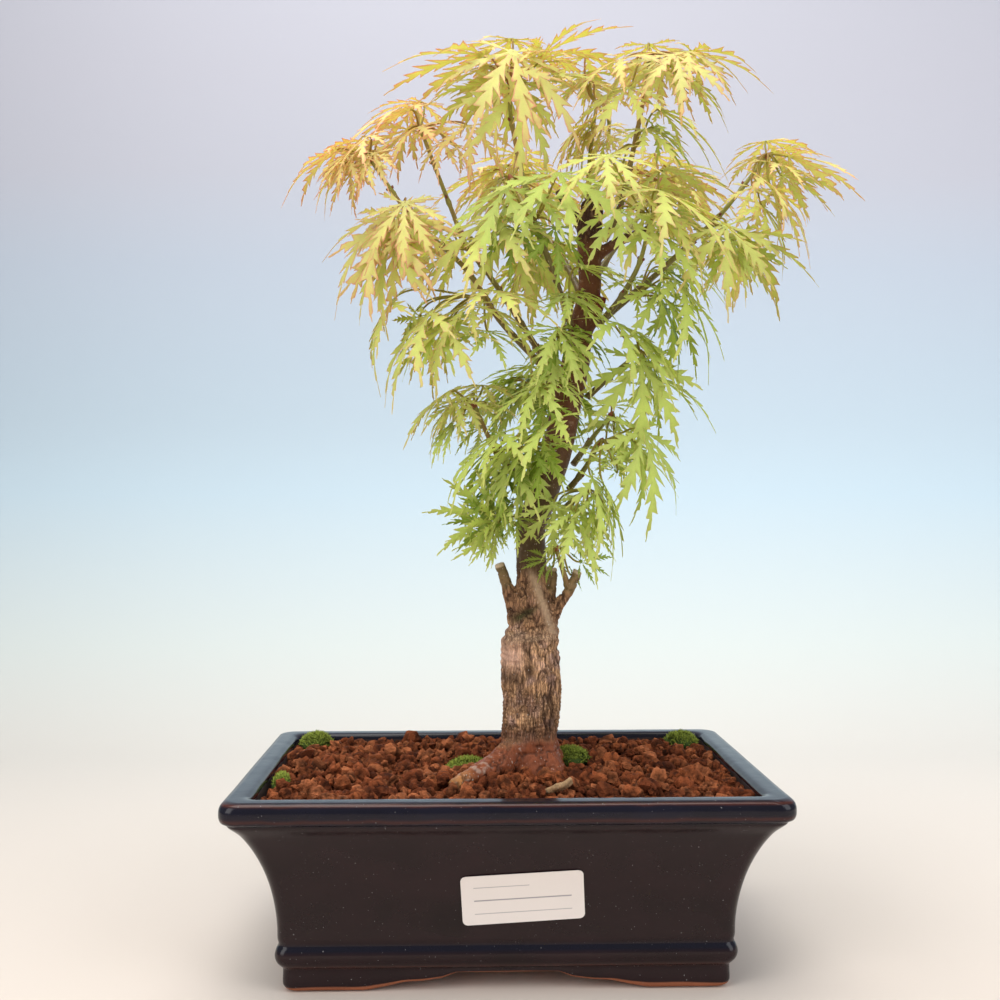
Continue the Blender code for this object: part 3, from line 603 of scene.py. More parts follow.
    def let_light_through(self, colour: Socket, share: float, tone: Colour) -> None:
        """Mixes in a translucent shader, so that light from behind glows through a thin blade.

        Args:
            colour: The blade's colour.
            share: How much of the light comes through.
            tone: What the blade's colour is multiplied by for it.
        """
        paler = self.add("ShaderNodeMix", data_type="RGBA", blend_type="MULTIPLY")
        paler.inputs[self.mix_share].default_value = 1.0
        self.join(colour, paler.inputs[self.mix_first])
        paler.inputs[self.mix_second].default_value = (*tone, 1.0)
        behind = self.add("ShaderNodeBsdfTranslucent")
        self.join(paler.outputs[self.mix_result], behind.inputs["Color"])
        both = self.add("ShaderNodeMixShader")
        both.inputs[0].default_value = share
        self.join(self.shader.outputs[0], both.inputs[1])
        self.join(behind.outputs[0], both.inputs[2])
        self.join(both.outputs[0], self.nodes["Material Output"].inputs["Surface"])


@dataclass(frozen=True)
class Finishes:
    """Every finish of the tree and its pot."""

    glaze: Finish = Finish(
        "glaze", roughness=(0.17, 0.85), mottle=0.30, mottle_size=16.0, grain=0.10, grain_size=1.0,
        bump=0.006, broad_bump=0.28, speckle=(0.20, 0.19, 0.19), speckle_share=-0.03, speckle_size=0.8,
        specular=0.28,
    )
    granule: Finish = Finish(
        "baked_granules", roughness=(0.95, 0.95), mottle=0.40, mottle_size=1.8, grain=0.40, grain_size=0.6,
        bump=0.9, broad_bump=1.1, specular=0.12,
    )
    moss: Finish = Finish(
        "moss", roughness=(0.8, 0.8), mottle=0.25, mottle_size=3.0, grain=0.3, grain_size=0.5,
        bump=0.2, specular=0.2,
    )
    bark: Finish = Finish(
        "bark", roughness=(0.9, 0.42), mottle=0.22, mottle_size=3.0, grain=0.34, grain_size=0.7,
        bump=0.28, broad_bump=0.2, speckle=(0.50, 0.43, 0.36), speckle_share=0.02, speckle_size=0.7,
        stretch=1.8, specular=0.2, crack=0.58, crack_size=1.15,
    )
    stem: Finish = Finish(
        "young_stem", roughness=(0.45, 0.6), mottle=0.2, mottle_size=4.0, grain=0.12, grain_size=0.6,
        bump=0.03, speckle=(0.55, 0.45, 0.28), speckle_share=0.04, speckle_size=0.8, stretch=2.0,
    )
    leaf: Finish = Finish(
        "leaf", roughness=(0.48, 0.5), mottle=0.10, mottle_size=5.0, grain=0.08, grain_size=0.7,
        bump=0.03, specular=0.35, through=0.45, through_colour=(1.0, 1.0, 0.85),
    )
    paper: Finish = Finish(
        "label_paper", roughness=(0.55, 0.6), mottle=0.02, mottle_size=12.0, grain=0.02, grain_size=0.3,
        bump=0.004,
    )
    screen: Finish = Finish(
        "screen_plastic", roughness=(0.55, 0.6), grain_size=0.5, bump=0.02, plain=(0.012, 0.012, 0.012)
    )
    wire: Finish = Finish(
        "clip_wire", roughness=(0.3, 0.4), grain_size=0.4, bump=0.01, plain=(0.5, 0.5, 0.5)
    )


# --- pot


@dataclass
class GlazedPot:
    """The thrown and glazed pot: flared lip, swept wall, base band, four feet, drained floor.

    The shell is a profile of inset and height carried round a rectangle with round corners. The
    feet come from raising the lower part of that profile between them.
    """

    lip: float = 9.4
    waist_inset: float = 20.5
    waist_fullness: float = 0.6
    band_top: float = 21.0
    foot_inset: float = 22.5
    foot_height: float = 10.0
    foot_width: float = 13.0
    underside: float = 7.4
    floor: float = 7.0
    wall: float = 8.0
    rim_width: float = 11.5
    corner: float = 7.0
    arch_front: float = 120.0
    arch_side: float = 76.0
    arch_shoulder: tuple[tuple[float, float], ...] = (
        (0.0, 1.0), (0.36, 1.0), (0.46, 0.66), (0.60, 0.50), (0.73, 0.45), (0.87, 0.2), (1.0, 0.0),
    )
    corner_steps: int = 12
    side_steps: tuple[int, int] = (96, 66)
    outer_share: float = 0.8
    drain_sides: int = 96
    drain_radius: float = 7.0
    drain_spacing: float = 90.0
    wall_colour: Colour = (0.0150, 0.0058, 0.0072)
    lip_colour: Colour = (0.0055, 0.0050, 0.0120)
    break_colour: Colour = (0.075, 0.020, 0.012)
    clay_colour: Colour = (0.34, 0.115, 0.055)
    inside_colour: Colour = (0.040, 0.024, 0.020)

    def wall_inset(self, height: Array | float) -> Array:
        """How far the wall stands in from the lip: a power of a quarter sine down to the band.

        Args:
            height: Heights on the wall.

        Returns:
            The inset at each height.
        """
        top = SITE.height - self.lip
        share = np.clip((top - height) / (top - self.band_top), 0.0, 1.0)
        return self.waist_inset * np.sin(share * math.pi / 2) ** self.waist_fullness

    def inner_inset(self, height: float) -> float:
        """How far the inner wall stands in from the lip's face."""
        return float(max(self.wall_inset(height) + self.wall, self.rim_width))

    def plan(self) -> tuple[Array, Array]:
        """The pot's plan, walked once round.

        Returns:
            For each plan point, its share of the straight half sides, and its corner direction.
        """
        corner = np.linspace(0.0, math.pi / 2, self.corner_steps, endpoint=False)
        shares, normals = [], []
        for quarter, (sx, sy) in enumerate(((1, 1), (-1, 1), (-1, -1), (1, -1))):
            turn = corner + quarter * math.pi / 2
            shares.append(np.broadcast_to((float(sx), float(sy)), (len(turn), 2)))
            normals.append(np.stack([np.cos(turn), np.sin(turn)], axis=-1))
            count = self.side_steps[quarter % 2]
            along = np.linspace(0.0, 1.0, count)[:, None]
            following = ((-1, 1), (-1, -1), (1, -1), (1, 1))[quarter]
            shares.append((1 - along) * (sx, sy) + along * np.array(following, float))
            side = (quarter + 1) * math.pi / 2
            normals.append(np.broadcast_to((math.cos(side), math.sin(side)), (count, 2)))
        return np.vstack(shares), np.vstack(normals)

    def rings(self, inset: Array, height: Array, radius: Array) -> Array:
        """The profile carried round the plan: corners keep their own radius at each height.

        Args:
            inset: How far each row of the profile stands in from the lip's face.
            height: Each row's height.
            radius: Each row's corner radius.

        Returns:
            A grid of points, one ring for each row.
        """
        shares, normals = self.plan()
        half = np.array([SITE.length, SITE.depth]) / 2 - inset[:, None]
        flat = shares[None] * (half - radius[:, None])[:, None] + normals[None] * radius[:, None, None]
        return np.dstack([flat, np.broadcast_to(height[:, None], flat.shape[:2])])

    def arch_rise(self, flat: Array) -> Array:
        """How high the foot is cut away: shouldered arches on all four sides.

        Args:
            flat: Points of one ring round the foot.

        Returns:
            The arch's height at each point.
        """
        share, rise = np.array(self.arch_shoulder).T
        rise = rise * (self.underside - 0.15)
        x, y = np.abs(flat[..., 0]), np.abs(flat[..., 1])
        on_front = y / SITE.depth > x / SITE.length
        front = np.interp(x / (self.arch_front / 2), share, rise, right=0.0)
        side = np.interp(y / (self.arch_side / 2), share, rise, right=0.0)
        edge = SITE.depth / 2 - self.foot_inset - self.foot_width - 2.0
        return np.where(y > edge, front, np.where(on_front, 0.0, side))

    def outer_knots(self) -> list[tuple[float, float, float]]:
        """The outer profile, from the foot's inner edge to the rim's inside.

        Returns:
            Inset, height and how bare the clay is, for each knot.
        """
        top, rim = SITE.height - self.lip, SITE.height
        foot = self.foot_inset
        knots = [
            (foot + self.foot_width, 0.8, 1.0), (foot + self.foot_width - 1.5, 0.0, 1.0),
            (foot + 3.4, 0.0, 1.0), (foot + 1.2, 0.7, 1.0), (foot + 0.2, 2.2, 0.0), (foot, 4.0, 0.0),
            (foot + 0.1, self.foot_height - 1.0, 0.0), (foot - 0.9, self.foot_height + 0.4, 0.0),
            (self.waist_inset - 0.2, self.foot_height + 2.4, 0.0),
            (self.waist_inset - 0.8, self.foot_height + 5.0, 0.0),
            (self.waist_inset - 0.3, self.foot_height + 7.6, 0.0),
            (self.waist_inset + 0.5, self.foot_height + 9.4, 0.0),
        ]
        for height in np.linspace(self.band_top + 1.0, top - 1.4, 14):
            knots.append((float(self.wall_inset(height)) + 0.1, float(height), 0.0))
        knots += [
            (2.6, top - 0.1, 0.0), (0.9, top + 0.9, 0.0), (0.15, top + 2.6, 0.0), (0.0, rim - 4.6, 0.0),
            (0.25, rim - 2.6, 0.0), (1.1, rim - 1.0, 0.0), (2.7, rim - 0.15, 0.0), (4.4, rim, 0.0),
            (self.rim_width - 3.2, rim - 0.05, 0.0), (self.rim_width - 1.4, rim - 0.6, 0.0),
            (self.rim_width - 0.4, rim - 1.8, 0.1), (self.rim_width, rim - 3.4, 0.6),
        ]
        return knots

    def shell(self) -> Body:
        """The shell with its feet, a closed ring round the floor.

        Returns:
            The piece in the making.
        """
        rim, foot = SITE.height, self.foot_inset
        outer = smooth_course(self.outer_knots(), 5)
        inner = [(self.rim_width + 0.1, rim - 5.0, 1.0)]
        for height in np.linspace(rim - 8.0, self.band_top, 10):
            inner.append((self.inner_inset(float(height)), float(height), 1.0))
        deep = self.underside + self.floor
        inner.append((self.waist_inset + self.wall + 4.0, deep, 1.0))
        edge = foot + self.foot_width + 8.0
        floor = [(edge, deep, 1.0), (edge, self.underside, 1.0)]
        floor.append((foot + self.foot_width + 0.6, self.underside, 1.0))
        profile = np.vstack([outer, inner, floor])
        inset, height, bare = profile.T
        radius = np.clip(self.corner - 0.1 * inset, 2.0, None)
        points = self.rings(inset, height, radius)
        rise = self.arch_rise(points[len(outer) // 3])[None]
        foot_rows = (height < self.foot_height)[:, None] & (np.arange(len(profile)) < len(outer))[:, None]
        lifted = rise + points[..., 2] * (1.0 - rise / self.foot_height)
        points[..., 2] = np.where(foot_rows, lifted, points[..., 2])
        out = unit(points * (1.0, 1.0, 0.0))
        glazed = (np.arange(len(profile)) < len(outer)) & (height > 3.0)
        wobble = 0.32 * layered_noise(points, 46.0, 3, 2) + 0.10 * value_noise(points, 15.0, 8)
        wobble *= ramp(height, 2.0, 12.0)[:, None]
        points += out * (wobble * glazed[:, None])[..., None]
        body = Body("pot")
        body.grid(points, self.tint(points, height, bare, rise), ends=False)
        rows, columns = points.shape[:2]
        first = np.arange(columns)
        last = first + (rows - 1) * columns
        body.bridge(np.stack([last, np.roll(last, -1), np.roll(first, -1), first], axis=-1))
        return body

    def tint(self, points: Array, height: Array, bare: Array, rise: Array) -> Array:
        """Colours of the shell: glaze that breaks brown on its edges, a painted blackish reflection along
        the base band, and bare clay at the foot.

        Args:
            points: The shell's grid.
            height: Each row's height before the arches.
            bare: Each row's share of bare clay.
            rise: Not used.

        Returns:
            Colour and bareness for each grid point.
        """
        rim, top = SITE.height, SITE.height - self.lip
        level = height[:, None] + 0 * points[..., 0]
        noise = layered_noise(points, 9.0, 21)
        lip = ramp(level + 0.5 * noise, top - 1.2, top + 1.0)
        colour = mix(self.wall_colour, self.lip_colour, lip)
        edge = bell(level - 0.3 * noise, rim - 1.0, 0.5)
        edge += 0.6 * bell(level - 0.5 * noise, top + 2.2, 0.8)
        edge += 0.5 * bell(level, self.foot_height + 0.6, 0.8)
        outside = np.arange(len(height))[:, None] < len(height) * self.outer_share
        cloud = layered_noise(points * (1.0, 1.0, 1.5), 26.0, 23)
        low_wall = ramp(level, self.band_top, self.band_top + 4) * (1 - ramp(level, 34.0, 44.0))
        colour = colour * (1.0 + (0.35 * cloud - 0.55 * low_wall * ramp(cloud, -0.2, 0.5)))[..., None]
        colour = mix(colour, self.break_colour, np.clip(edge, 0, 1) * 0.8 * outside)
        # Painted reflection: a blackish navy strip along the slope above the base band's bulge, standing for
        # a reflection in the glaze.
        band = bell(level, self.foot_height + 8.3, 1.5)
        colour = mix(colour, self.lip_colour, np.clip(band * 1.2, 0, 1) * outside)
        raw = np.clip(bare[:, None] + 0 * noise, 0, 1)
        raw = ramp(raw + 0.25 * noise * (raw > 0.02) * (raw < 0.98), 0.35, 0.65)
        dip = 1.6 * value_noise(points * (1.0, 1.0, 0.0), 34.0, 22) + 0.3 * noise
        raw = np.maximum(raw, outside * (1.0 - ramp(level + dip, 1.9, 2.6)))
        clay = np.where((level > rim / 3)[..., None], self.inside_colour, self.clay_colour)
        clay = clay * (1.0 + 0.25 * noise[..., None])
        top_face = outside * ramp(level, rim - 1.2, rim - 0.4)
        return tinted(mix(colour, clay, raw), np.maximum(raw, 0.22 * top_face))

    def floor_plate(self, side: int) -> Body:
        """One half of the floor, a plate from a rectangle in to the round wall of its drain hole.

        Args:
            side: -1 for the left half and 1 for the right.

        Returns:
            The piece in the making.
        """
        edge = self.foot_inset + self.foot_width + 8.0
        half_x, half_y = SITE.length / 2 - edge, SITE.depth / 2 - edge
        centre = side * self.drain_spacing / 2
        turn = np.arange(self.drain_sides) * (math.tau / self.drain_sides)
        around = np.stack([np.cos(turn), np.sin(turn)], axis=-1)
        low_x = np.where(around[:, 0] * side > 0, half_x - abs(centre), abs(centre))
        step_x, step_y = np.maximum(np.abs(around), 1e-6).T
        reach = np.minimum(low_x / step_x, half_y / step_y)
        low, high = self.underside, self.underside + self.floor
        rings = []
        for share, height in ((1.0, low), (0.3, low), (0.0, low), (0.0, high), (0.3, high), (1.0, high)):
            radius = self.drain_radius + (reach - self.drain_radius) * share
            flat = around * radius[:, None] + (centre, 0.0)
            rings.append(np.column_stack([flat, np.full(len(flat), height)]))
        rings.append(rings[0])
        body = Body("pot_floor_left" if side < 0 else "pot_floor_right")
        body.grid(np.array(rings)[::-1], tinted(self.clay_colour, 1.0), ends=False)
        return body

    def build(self, finish: Material) -> None:
        """Makes the shell and the two halves of the floor.

        Args:
            finish: The glaze, which turns to bare clay where the tint says so.
        """
        settle(self.shell().finish([finish], 50.0), "pot_glaze", "pot")
        for side in (-1, 1):
            settle(self.floor_plate(side).finish([finish], 40.0), "pot_glaze", "pot")


@dataclass
class Label:
    """A blank paper label on the front wall, with plain ruled lines."""

    length: float = 50.0
    height: float = 21.0
    thickness: float = 0.3
    lift: float = 0.3
    centre_x: float = 6.0
    centre_z: float = 39.5
    turn: float = 3.3
    corner: float = 2.2
    paper: Colour = (0.80, 0.74, 0.70)
    ruled: Colour = (0.30, 0.28, 0.30)
    half_line: float = 0.16
    lines: tuple[tuple[float, float, float], ...] = (
        (5.2, -20.0, 3.0), (-0.4, -20.0, 20.0), (-6.0, -20.0, 20.0),
    )
    grid: tuple[int, int] = (85, 201)

    def build(self, pot: GlazedPot, finish: Material) -> None:
        """A sheet with round corners, laid on the wall's curve.

        Args:
            pot: The pot that it sticks to.
            finish: Paper.
        """
        rows, columns = self.grid
        u = np.linspace(-0.5, 0.5, columns)[None, :] * np.ones((rows, 1))
        v = np.linspace(-0.5, 0.5, rows)[:, None] * self.height * np.ones((1, columns))
        over = np.clip(np.abs(v) - (self.height / 2 - self.corner), 0.0, self.corner)
        pull = self.corner - np.sqrt(np.maximum(self.corner**2 - over**2, 0.0))
        u = u * (self.length - 2 * pull)
        tint = np.empty((rows, columns, 4))
        tint[:] = tinted(self.paper)
        for level, start, stop in self.lines:
            on = (np.abs(v - level) < self.half_line) & (u > start) & (u < stop)
            tint[on] = tinted(self.ruled)
        turn = math.radians(self.turn)
        x = self.centre_x + u * math.cos(turn) - v * math.sin(turn)
        z = self.centre_z + u * math.sin(turn) + v * math.cos(turn)
        y = -(SITE.depth / 2 - pot.wall_inset(z)) - self.lift
        back = np.dstack([x, y, z])
        front = back - (0.0, self.thickness, 0.0)
        body = Body("label")
        body.grid(front, tint, wrap=False, ends=False)
        body.grid(back[:, ::-1], tint[:, ::-1], wrap=False, ends=False)
        index = np.arange(rows * columns).reshape(rows, columns)
        rim, far = (
            np.concatenate([sheet[0], sheet[1:, -1], sheet[-1, -2::-1], sheet[-2:0:-1, 0]])
            for sheet in (index, index[:, ::-1] + rows * columns)
        )
        body.bridge(np.stack([np.roll(rim, -1), rim, far, np.roll(far, -1)], axis=-1))
        settle(body.finish([finish], 40.0), "label_paper", "label")


# --- soil and moss


@dataclass
class SoilBed:
    """The bed of baked clay granules: a rough body, and loose granules in two layers on it."""

    pot: GlazedPot
    below_rim: float = 4.0
    mound: float = 2.5
    bump: float = 0.7
    bed_below: float = 4.4
    bed_rings: int = 90
    pitch: float = 4.7
    layers: tuple[tuple[float, float, float], ...] = ((1.0, -3.2, 1.0), (1.12, -0.6, 0.62))
    sizes: tuple[float, float] = (1.2, 4.2)
    edge_dip: float = 1.6
    # Painted shade: the bed under the granules is tinted far darker than they are, for the shade in the gaps
    # between them.
    gap_shade: Colour = (0.030, 0.009, 0.004)
    reds: tuple[Colour, ...] = (
        (0.150, 0.041, 0.015), (0.190, 0.055, 0.020), (0.110, 0.029, 0.011), (0.230, 0.075, 0.030),
    )
    seed: int = 5

    def level(self, x: Array, y: Array) -> Array:
        """The soil's height: a low mound with gentle bumps.

        Args:
            x: Places along the pot.
            y: Places across it.

        Returns:
            The height at each place.
        """
        u, v = 2 * x / SITE.length, 2 * y / SITE.depth
        mound = self.mound * (1 - u * u) * (1 - v * v)
        bumps = np.sin(x * 0.21 + 1.0) * np.cos(y * 0.27) + np.sin(x * 0.11 - y * 0.15)
        return SITE.height - self.below_rim + mound + self.bump * bumps

    def bed(self) -> Body:
        """The body under the granules: rings that shrink to the middle over a rough top, tinted as painted
        shade for the gaps between the granules.

        Returns:
            The piece in the making.
        """
        pot = self.pot
        gaps = ((20.0, 4.0), (40.0, 1.0), (72.0, 0.6))
        inset = np.array([pot.inner_inset(level) + gap for level, gap in gaps])
        sides = pot.rings(inset, np.array([15.0, 40.0, 74.0]), np.full(3, 5.0))
        edge = pot.rings(np.array([pot.inner_inset(76.0) + 0.5]), np.array([76.0]), np.array([5.0]))[0]
        share = np.linspace(1.0, 0.0, self.bed_rings, endpoint=False)[:, None, None]
        top = edge[None] * np.dstack([share, share, np.ones_like(share)])
        rough = 0.9 * layered_noise(top, 4.0, 12)
        top[..., 2] = self.level(top[..., 0], top[..., 1]) - self.bed_below + rough
        body = Body("soil_bed")
        body.grid(np.vstack([sides, top]), tinted(self.gap_shade, 1.0))
        return body

    def crumb(self) -> tuple[Array, Array]:
        """A cube's faces in nine parts each, blown up to a ball: 56 points and 54 faces.

        Returns:
            Points on a unit ball and the faces between them.
        """
        steps = np.tan(np.linspace(-1, 1, 4) * math.pi / 4)
        a, b = np.meshgrid(steps, steps, indexing="ij")
        one = np.ones_like(a)
        sides = [(one, a, b), (-one, b, a), (b, one, a), (a, -one, b), (a, b, one), (b, a, -one)]
        points = np.array([np.dstack(side).reshape(-1, 3) for side in sides]).reshape(-1, 3)
        index = np.arange(16).reshape(4, 4)
        corners = [index[:-1, :-1], index[1:, :-1], index[1:, 1:], index[:-1, 1:]]
        face = np.stack(corners, axis=-1).reshape(-1, 4)
        faces = np.concatenate([face + 16 * k for k in range(6)])
        merged, back = np.unique(np.round(points, 6), axis=0, return_inverse=True)
        return unit(merged), back.reshape(-1)[faces]

    def scatter(self, clear: Array) -> Array:
        """Places and sizes of the granules.

        Args:
            clear: Rounds to keep free, each x, y and radius.

        Returns:
            x, y, z and radius of each granule.
        """
        rng = np.random.default_rng(self.seed)
        half = np.array([SITE.length, SITE.depth]) / 2 - self.pot.inner_inset(77.0) - 1.6
        found = []
        for wider, lift, share in self.layers:
            pitch = self.pitch * wider
            nx, ny = (2 * half / (pitch, pitch * 0.87)).astype(int) + 1
            odd = (np.arange(ny) % 2)[:, None]
            x = np.linspace(-half[0], half[0], nx)[None, :] + odd * pitch / 2
            y = np.linspace(-half[1], half[1], ny)[:, None] + 0 * x
            flat = np.column_stack([x.ravel(), y.ravel()]) + rng.normal(0, pitch * 0.2, (nx * ny, 2))
            flat = flat[rng.random(len(flat)) < share]
            radius = np.clip(rng.lognormal(0.84, 0.30, len(flat)), *self.sizes)
            flat = np.clip(flat, -half + radius[:, None] * 0.6, half - radius[:, None] * 0.6)
            z = self.level(flat[:, 0], flat[:, 1]) + lift + rng.normal(0, 0.7, len(flat)) + 0.25 * radius
            inside = ramp(half - np.abs(flat), 2.0, 16.0)
            z -= self.edge_dip * (1.0 - inside[:, 0] * inside[:, 1])
            found.append(np.column_stack([flat, z, radius]))
        places = np.vstack(found)
        gap = np.linalg.norm(places[:, None, :2] - clear[None, :, :2], axis=-1) - clear[None, :, 2]
        return places[gap.min(axis=1) > places[:, 3] * 0.45]

    def granules(self, places: Array, name: str) -> Body:
        """Crumbs at the places: each ball is stretched, turned and made lumpy by its own numbers, with
        painted shade in its dents and painted light on its swellings.

        Args:
            places: x, y, z and radius of each granule.
            name: The piece's name.

        Returns:
            The piece in the making.
        """
        rng = np.random.default_rng(len(places))
        ball, faces = self.crumb()
        count = len(places)
        stretch = rng.uniform(0.72, 1.28, (count, 1, 3))
        axes = np.linalg.qr(rng.normal(size=(count, 3, 3)))[0]
        lumps = ball[None] + rng.uniform(-50, 50, (count, 1, 3))
        swell = 1.0 + 0.42 * value_noise(lumps, 0.66, 4) + 0.20 * rng.uniform(-1, 1, (count, len(ball)))
        shape = ball[None] * stretch * swell[..., None]
        shape = np.einsum("nij,nkj->nki", axes, shape) * places[:, None, 3:4]
        points = (shape + places[:, None, :3]).reshape(-1, 3)
        points[:, 2] = np.minimum(points[:, 2], SITE.height + 4.0)
        tone = np.array(self.reds)[rng.integers(0, len(self.reds), count)]
        tone = tone * rng.uniform(0.7, 1.2, (count, 1))
        pit_shaded_tone = np.repeat(tone[:, None], len(ball), axis=1)
        # Painted shade and light: each point gets darker the further it is pushed in and lighter the further
        # it swells out.
        pit_shaded_tone = pit_shaded_tone * np.clip(1.0 + 1.1 * (swell[..., None] - 1.0) / 0.3, 0.35, 1.9)
        tint = tinted(pit_shaded_tone, 1.0).reshape(-1, 4)
        body = Body(name)
        offsets = (np.arange(count) * len(ball))[:, None, None]
        body.add(points, tint, [(faces[None] + offsets).reshape(-1, 4)])
        return body

    def build(self, clear: Array, finish: Material) -> None:
        """Makes the bed and its granules, in three pieces.

        Args:
            clear: Rounds that the tree and the moss stand in.
            finish: Baked clay.
        """
        settle(self.bed().finish([finish]), "soil", "soil_bed")
        places = self.scatter(clear)
        third = SITE.length / 6
        for name, low, high in (("left", -999, -third), ("middle", -third, third), ("right", third, 999)):
            chosen = places[(places[:, 0] >= low) & (places[:, 0] < high)]
            settle(self.granules(chosen, f"granules_{name}").finish([finish], 24.0), "soil", "soil_bed")


@dataclass
class Moss:
    """Cushions of moss: a soft dome set all over with tiny pointed shoots."""

    soil: SoilBed
    patches: dict[str, tuple[float, float, float, float, float]] = field(default_factory=lambda: {
        "moss_back_left": (-93, 59, 8.5, 8.5, 6.5),
        "moss_back_right": (93, 60, 8.5, 7.5, 5.5),
        "moss_left_wall": (-98, -24, 3.6, 10, 4.0),
        "moss_right_of_trunk": (31.5, 8, 9.5, 9.0, 6.0),
        "moss_left_of_trunk": (-16, -5, 10.0, 7.0, 4.6),
    })
    # Painted light and shade: light is the lit green of the cushion tops and shoot tips, deep is the painted
    # shade low on the dome.
    light: Colour = (0.31, 0.38, 0.055)
    deep: Colour = (0.034, 0.060, 0.010)
    sink: float = 1.5
    density: float = 11.0
    half_width: float = 0.30

    def clearings(self) -> Array:
        """Rounds that the granules keep out of: three along each patch's longer way.

        Returns:
            x, y and radius of each round.
        """
        rounds = []
        for x, y, half_x, half_y in (patch[:4] for patch in self.patches.values()):
            wide, radius = max(half_x, half_y) - min(half_x, half_y), min(half_x, half_y)
            for share in (-1, 0, 1):
                step = (share * wide, 0.0) if half_x > half_y else (0.0, share * wide)
                rounds.append((x + step[0], y + step[1], radius))
        return np.array(rounds)

    def cushion(self, name: str) -> Body:
        """One patch: height falls from its middle as the square root of 1 - r^2, roughened, with painted
        shade low on the dome and at each shoot's foot and painted light on its top.

        Args:
            name: The patch's name.

        Returns:
            The piece in the making.
        """
        x, y, half_x, half_y, height = self.patches[name]
        rng = np.random.default_rng(len(name))
        turn = np.arange(40) * (math.tau / 40)
        share = np.linspace(1.0, 0.02, 16)[:, None]
        wave = 1 + 0.10 * np.sin(3 * turn + x) + 0.07 * np.sin(5 * turn + y)
        reach = wave * share
        ring = np.dstack([x + half_x * reach * np.cos(turn), y + half_y * reach * np.sin(turn)])
        rise = np.sqrt(np.maximum(1 - share**2, 0.0)) + 0 * turn
        low = float(self.soil.level(np.float64(x), np.float64(y))) - self.sink
        dome = np.dstack([ring, low + (height + self.sink) * 0.88 * rise])
        dome += unit(dome - (x, y, low)) * (0.5 * layered_noise(dome, 2.4, 6))[..., None]
        # Painted shade low on the dome and painted light on its top, by height.
        colour = mix(self.deep, self.light, ramp(rise + 0.4 * layered_noise(dome, 3.0, 9), 0.4, 1.4))
        body = Body(name)
        body.grid(dome, tinted(colour, 1.0))
        count = int(self.density * half_x * half_y)
        away = np.sqrt(rng.random(count)) * 0.98
        spin = rng.random(count) * math.tau
        foot_x, foot_y = x + half_x * away * np.cos(spin), y + half_y * away * np.sin(spin)
        foot_z = low + (height + self.sink) * np.sqrt(1 - away**2) - 0.3
        foot = np.column_stack([foot_x, foot_y, foot_z])
        lean = unit(foot - (x, y, low - 4.0)) + rng.normal(0, 0.35, (count, 3))
        tip = foot + unit(lean) * rng.uniform(0.9, 2.3, (count, 1))
        side = unit(np.cross(lean, rng.normal(size=(count, 3)))) * self.half_width
        other = unit(np.cross(lean, side)) * self.half_width
        points = np.stack([foot + side, foot + other, foot - side - other, tip], axis=1).reshape(-1, 3)
        base = (np.arange(count) * 4)[:, None]
        faces = np.concatenate([base + f for f in ((0, 1, 3), (1, 2, 3), (2, 0, 3), (0, 2, 1))])
        # Painted shade: each shoot is tinted to half its tip's colour at its foot, over a random tone per
        # shoot.
        tone_and_foot_shade = rng.uniform(0.5, 1.3, (count, 1, 1)) * np.array([[0.5], [0.5], [0.5], [1.0]])
        tint = tinted(tone_and_foot_shade * np.array(self.light), 1.0).reshape(-1, 4)
        body.add(points, tint, [faces])
        return body

    def build(self, finish: Material) -> None:
        """Makes every patch."""
        for name in self.patches:
            settle(self.cushion(name).finish([finish]), "moss", name)


@dataclass
class BarkChip:
    """A dry chip of bark on the soil in front of the trunk: a flat, split, twisted sliver."""

    place: tuple[float, float] = (22.0, -51.0)
    colour: Colour = (0.46, 0.29, 0.15)
    worn: float = 0.3
    sides: int = 28

    def build(self, soil: SoilBed, finish: Material) -> None:
        """A tube of flat, ragged rings.

        Args:
            soil: The soil that it lies on.
            finish: Bark.
        """
        x, y = self.place
        z = float(soil.level(np.float64(x), np.float64(y))) + 2.4
        knots = [
            (x - 6, y + 1, z - 2.2), (x - 2, y, z - 0.4),
            (x + 2, y - 0.4, z + 1.0), (x + 5, y + 1.2, z + 2.6),
        ]
        path = smooth_course(knots, 12)
        turn = np.arange(self.sides) * (math.tau / self.sides)
        share = np.linspace(0, 1, len(path))[:, None]
        girth = 0.80 + 0.55 * np.sin(math.pi * share**0.8)
        radii = girth * (0.70 + 1.50 * np.abs(np.cos(turn + 0.8 * share)) ** 1.6)
        rings = tube(path, radii, self.sides)
        ragged = 0.6 * layered_noise(rings * (0.6, 1.0, 1.0), 2.0, 31)[..., None]
        rings += ragged * unit(rings - path[:, None])
        light = 1.0 + 0.5 * layered_noise(rings * (0.3, 1, 1), 1.2, 33)
        body = Body("wood_chip")
        body.grid(rings, tinted(light[..., None] * self.colour, self.worn))
        settle(body.finish([finish]), "bark_chip", "wood_chip")


# --- trunk


@dataclass(frozen=True)
class Limb:
    """A stretch of grown wood: its course from the trunk's foot and its radii."""

    course: Line
    radii: tuple[float, ...]


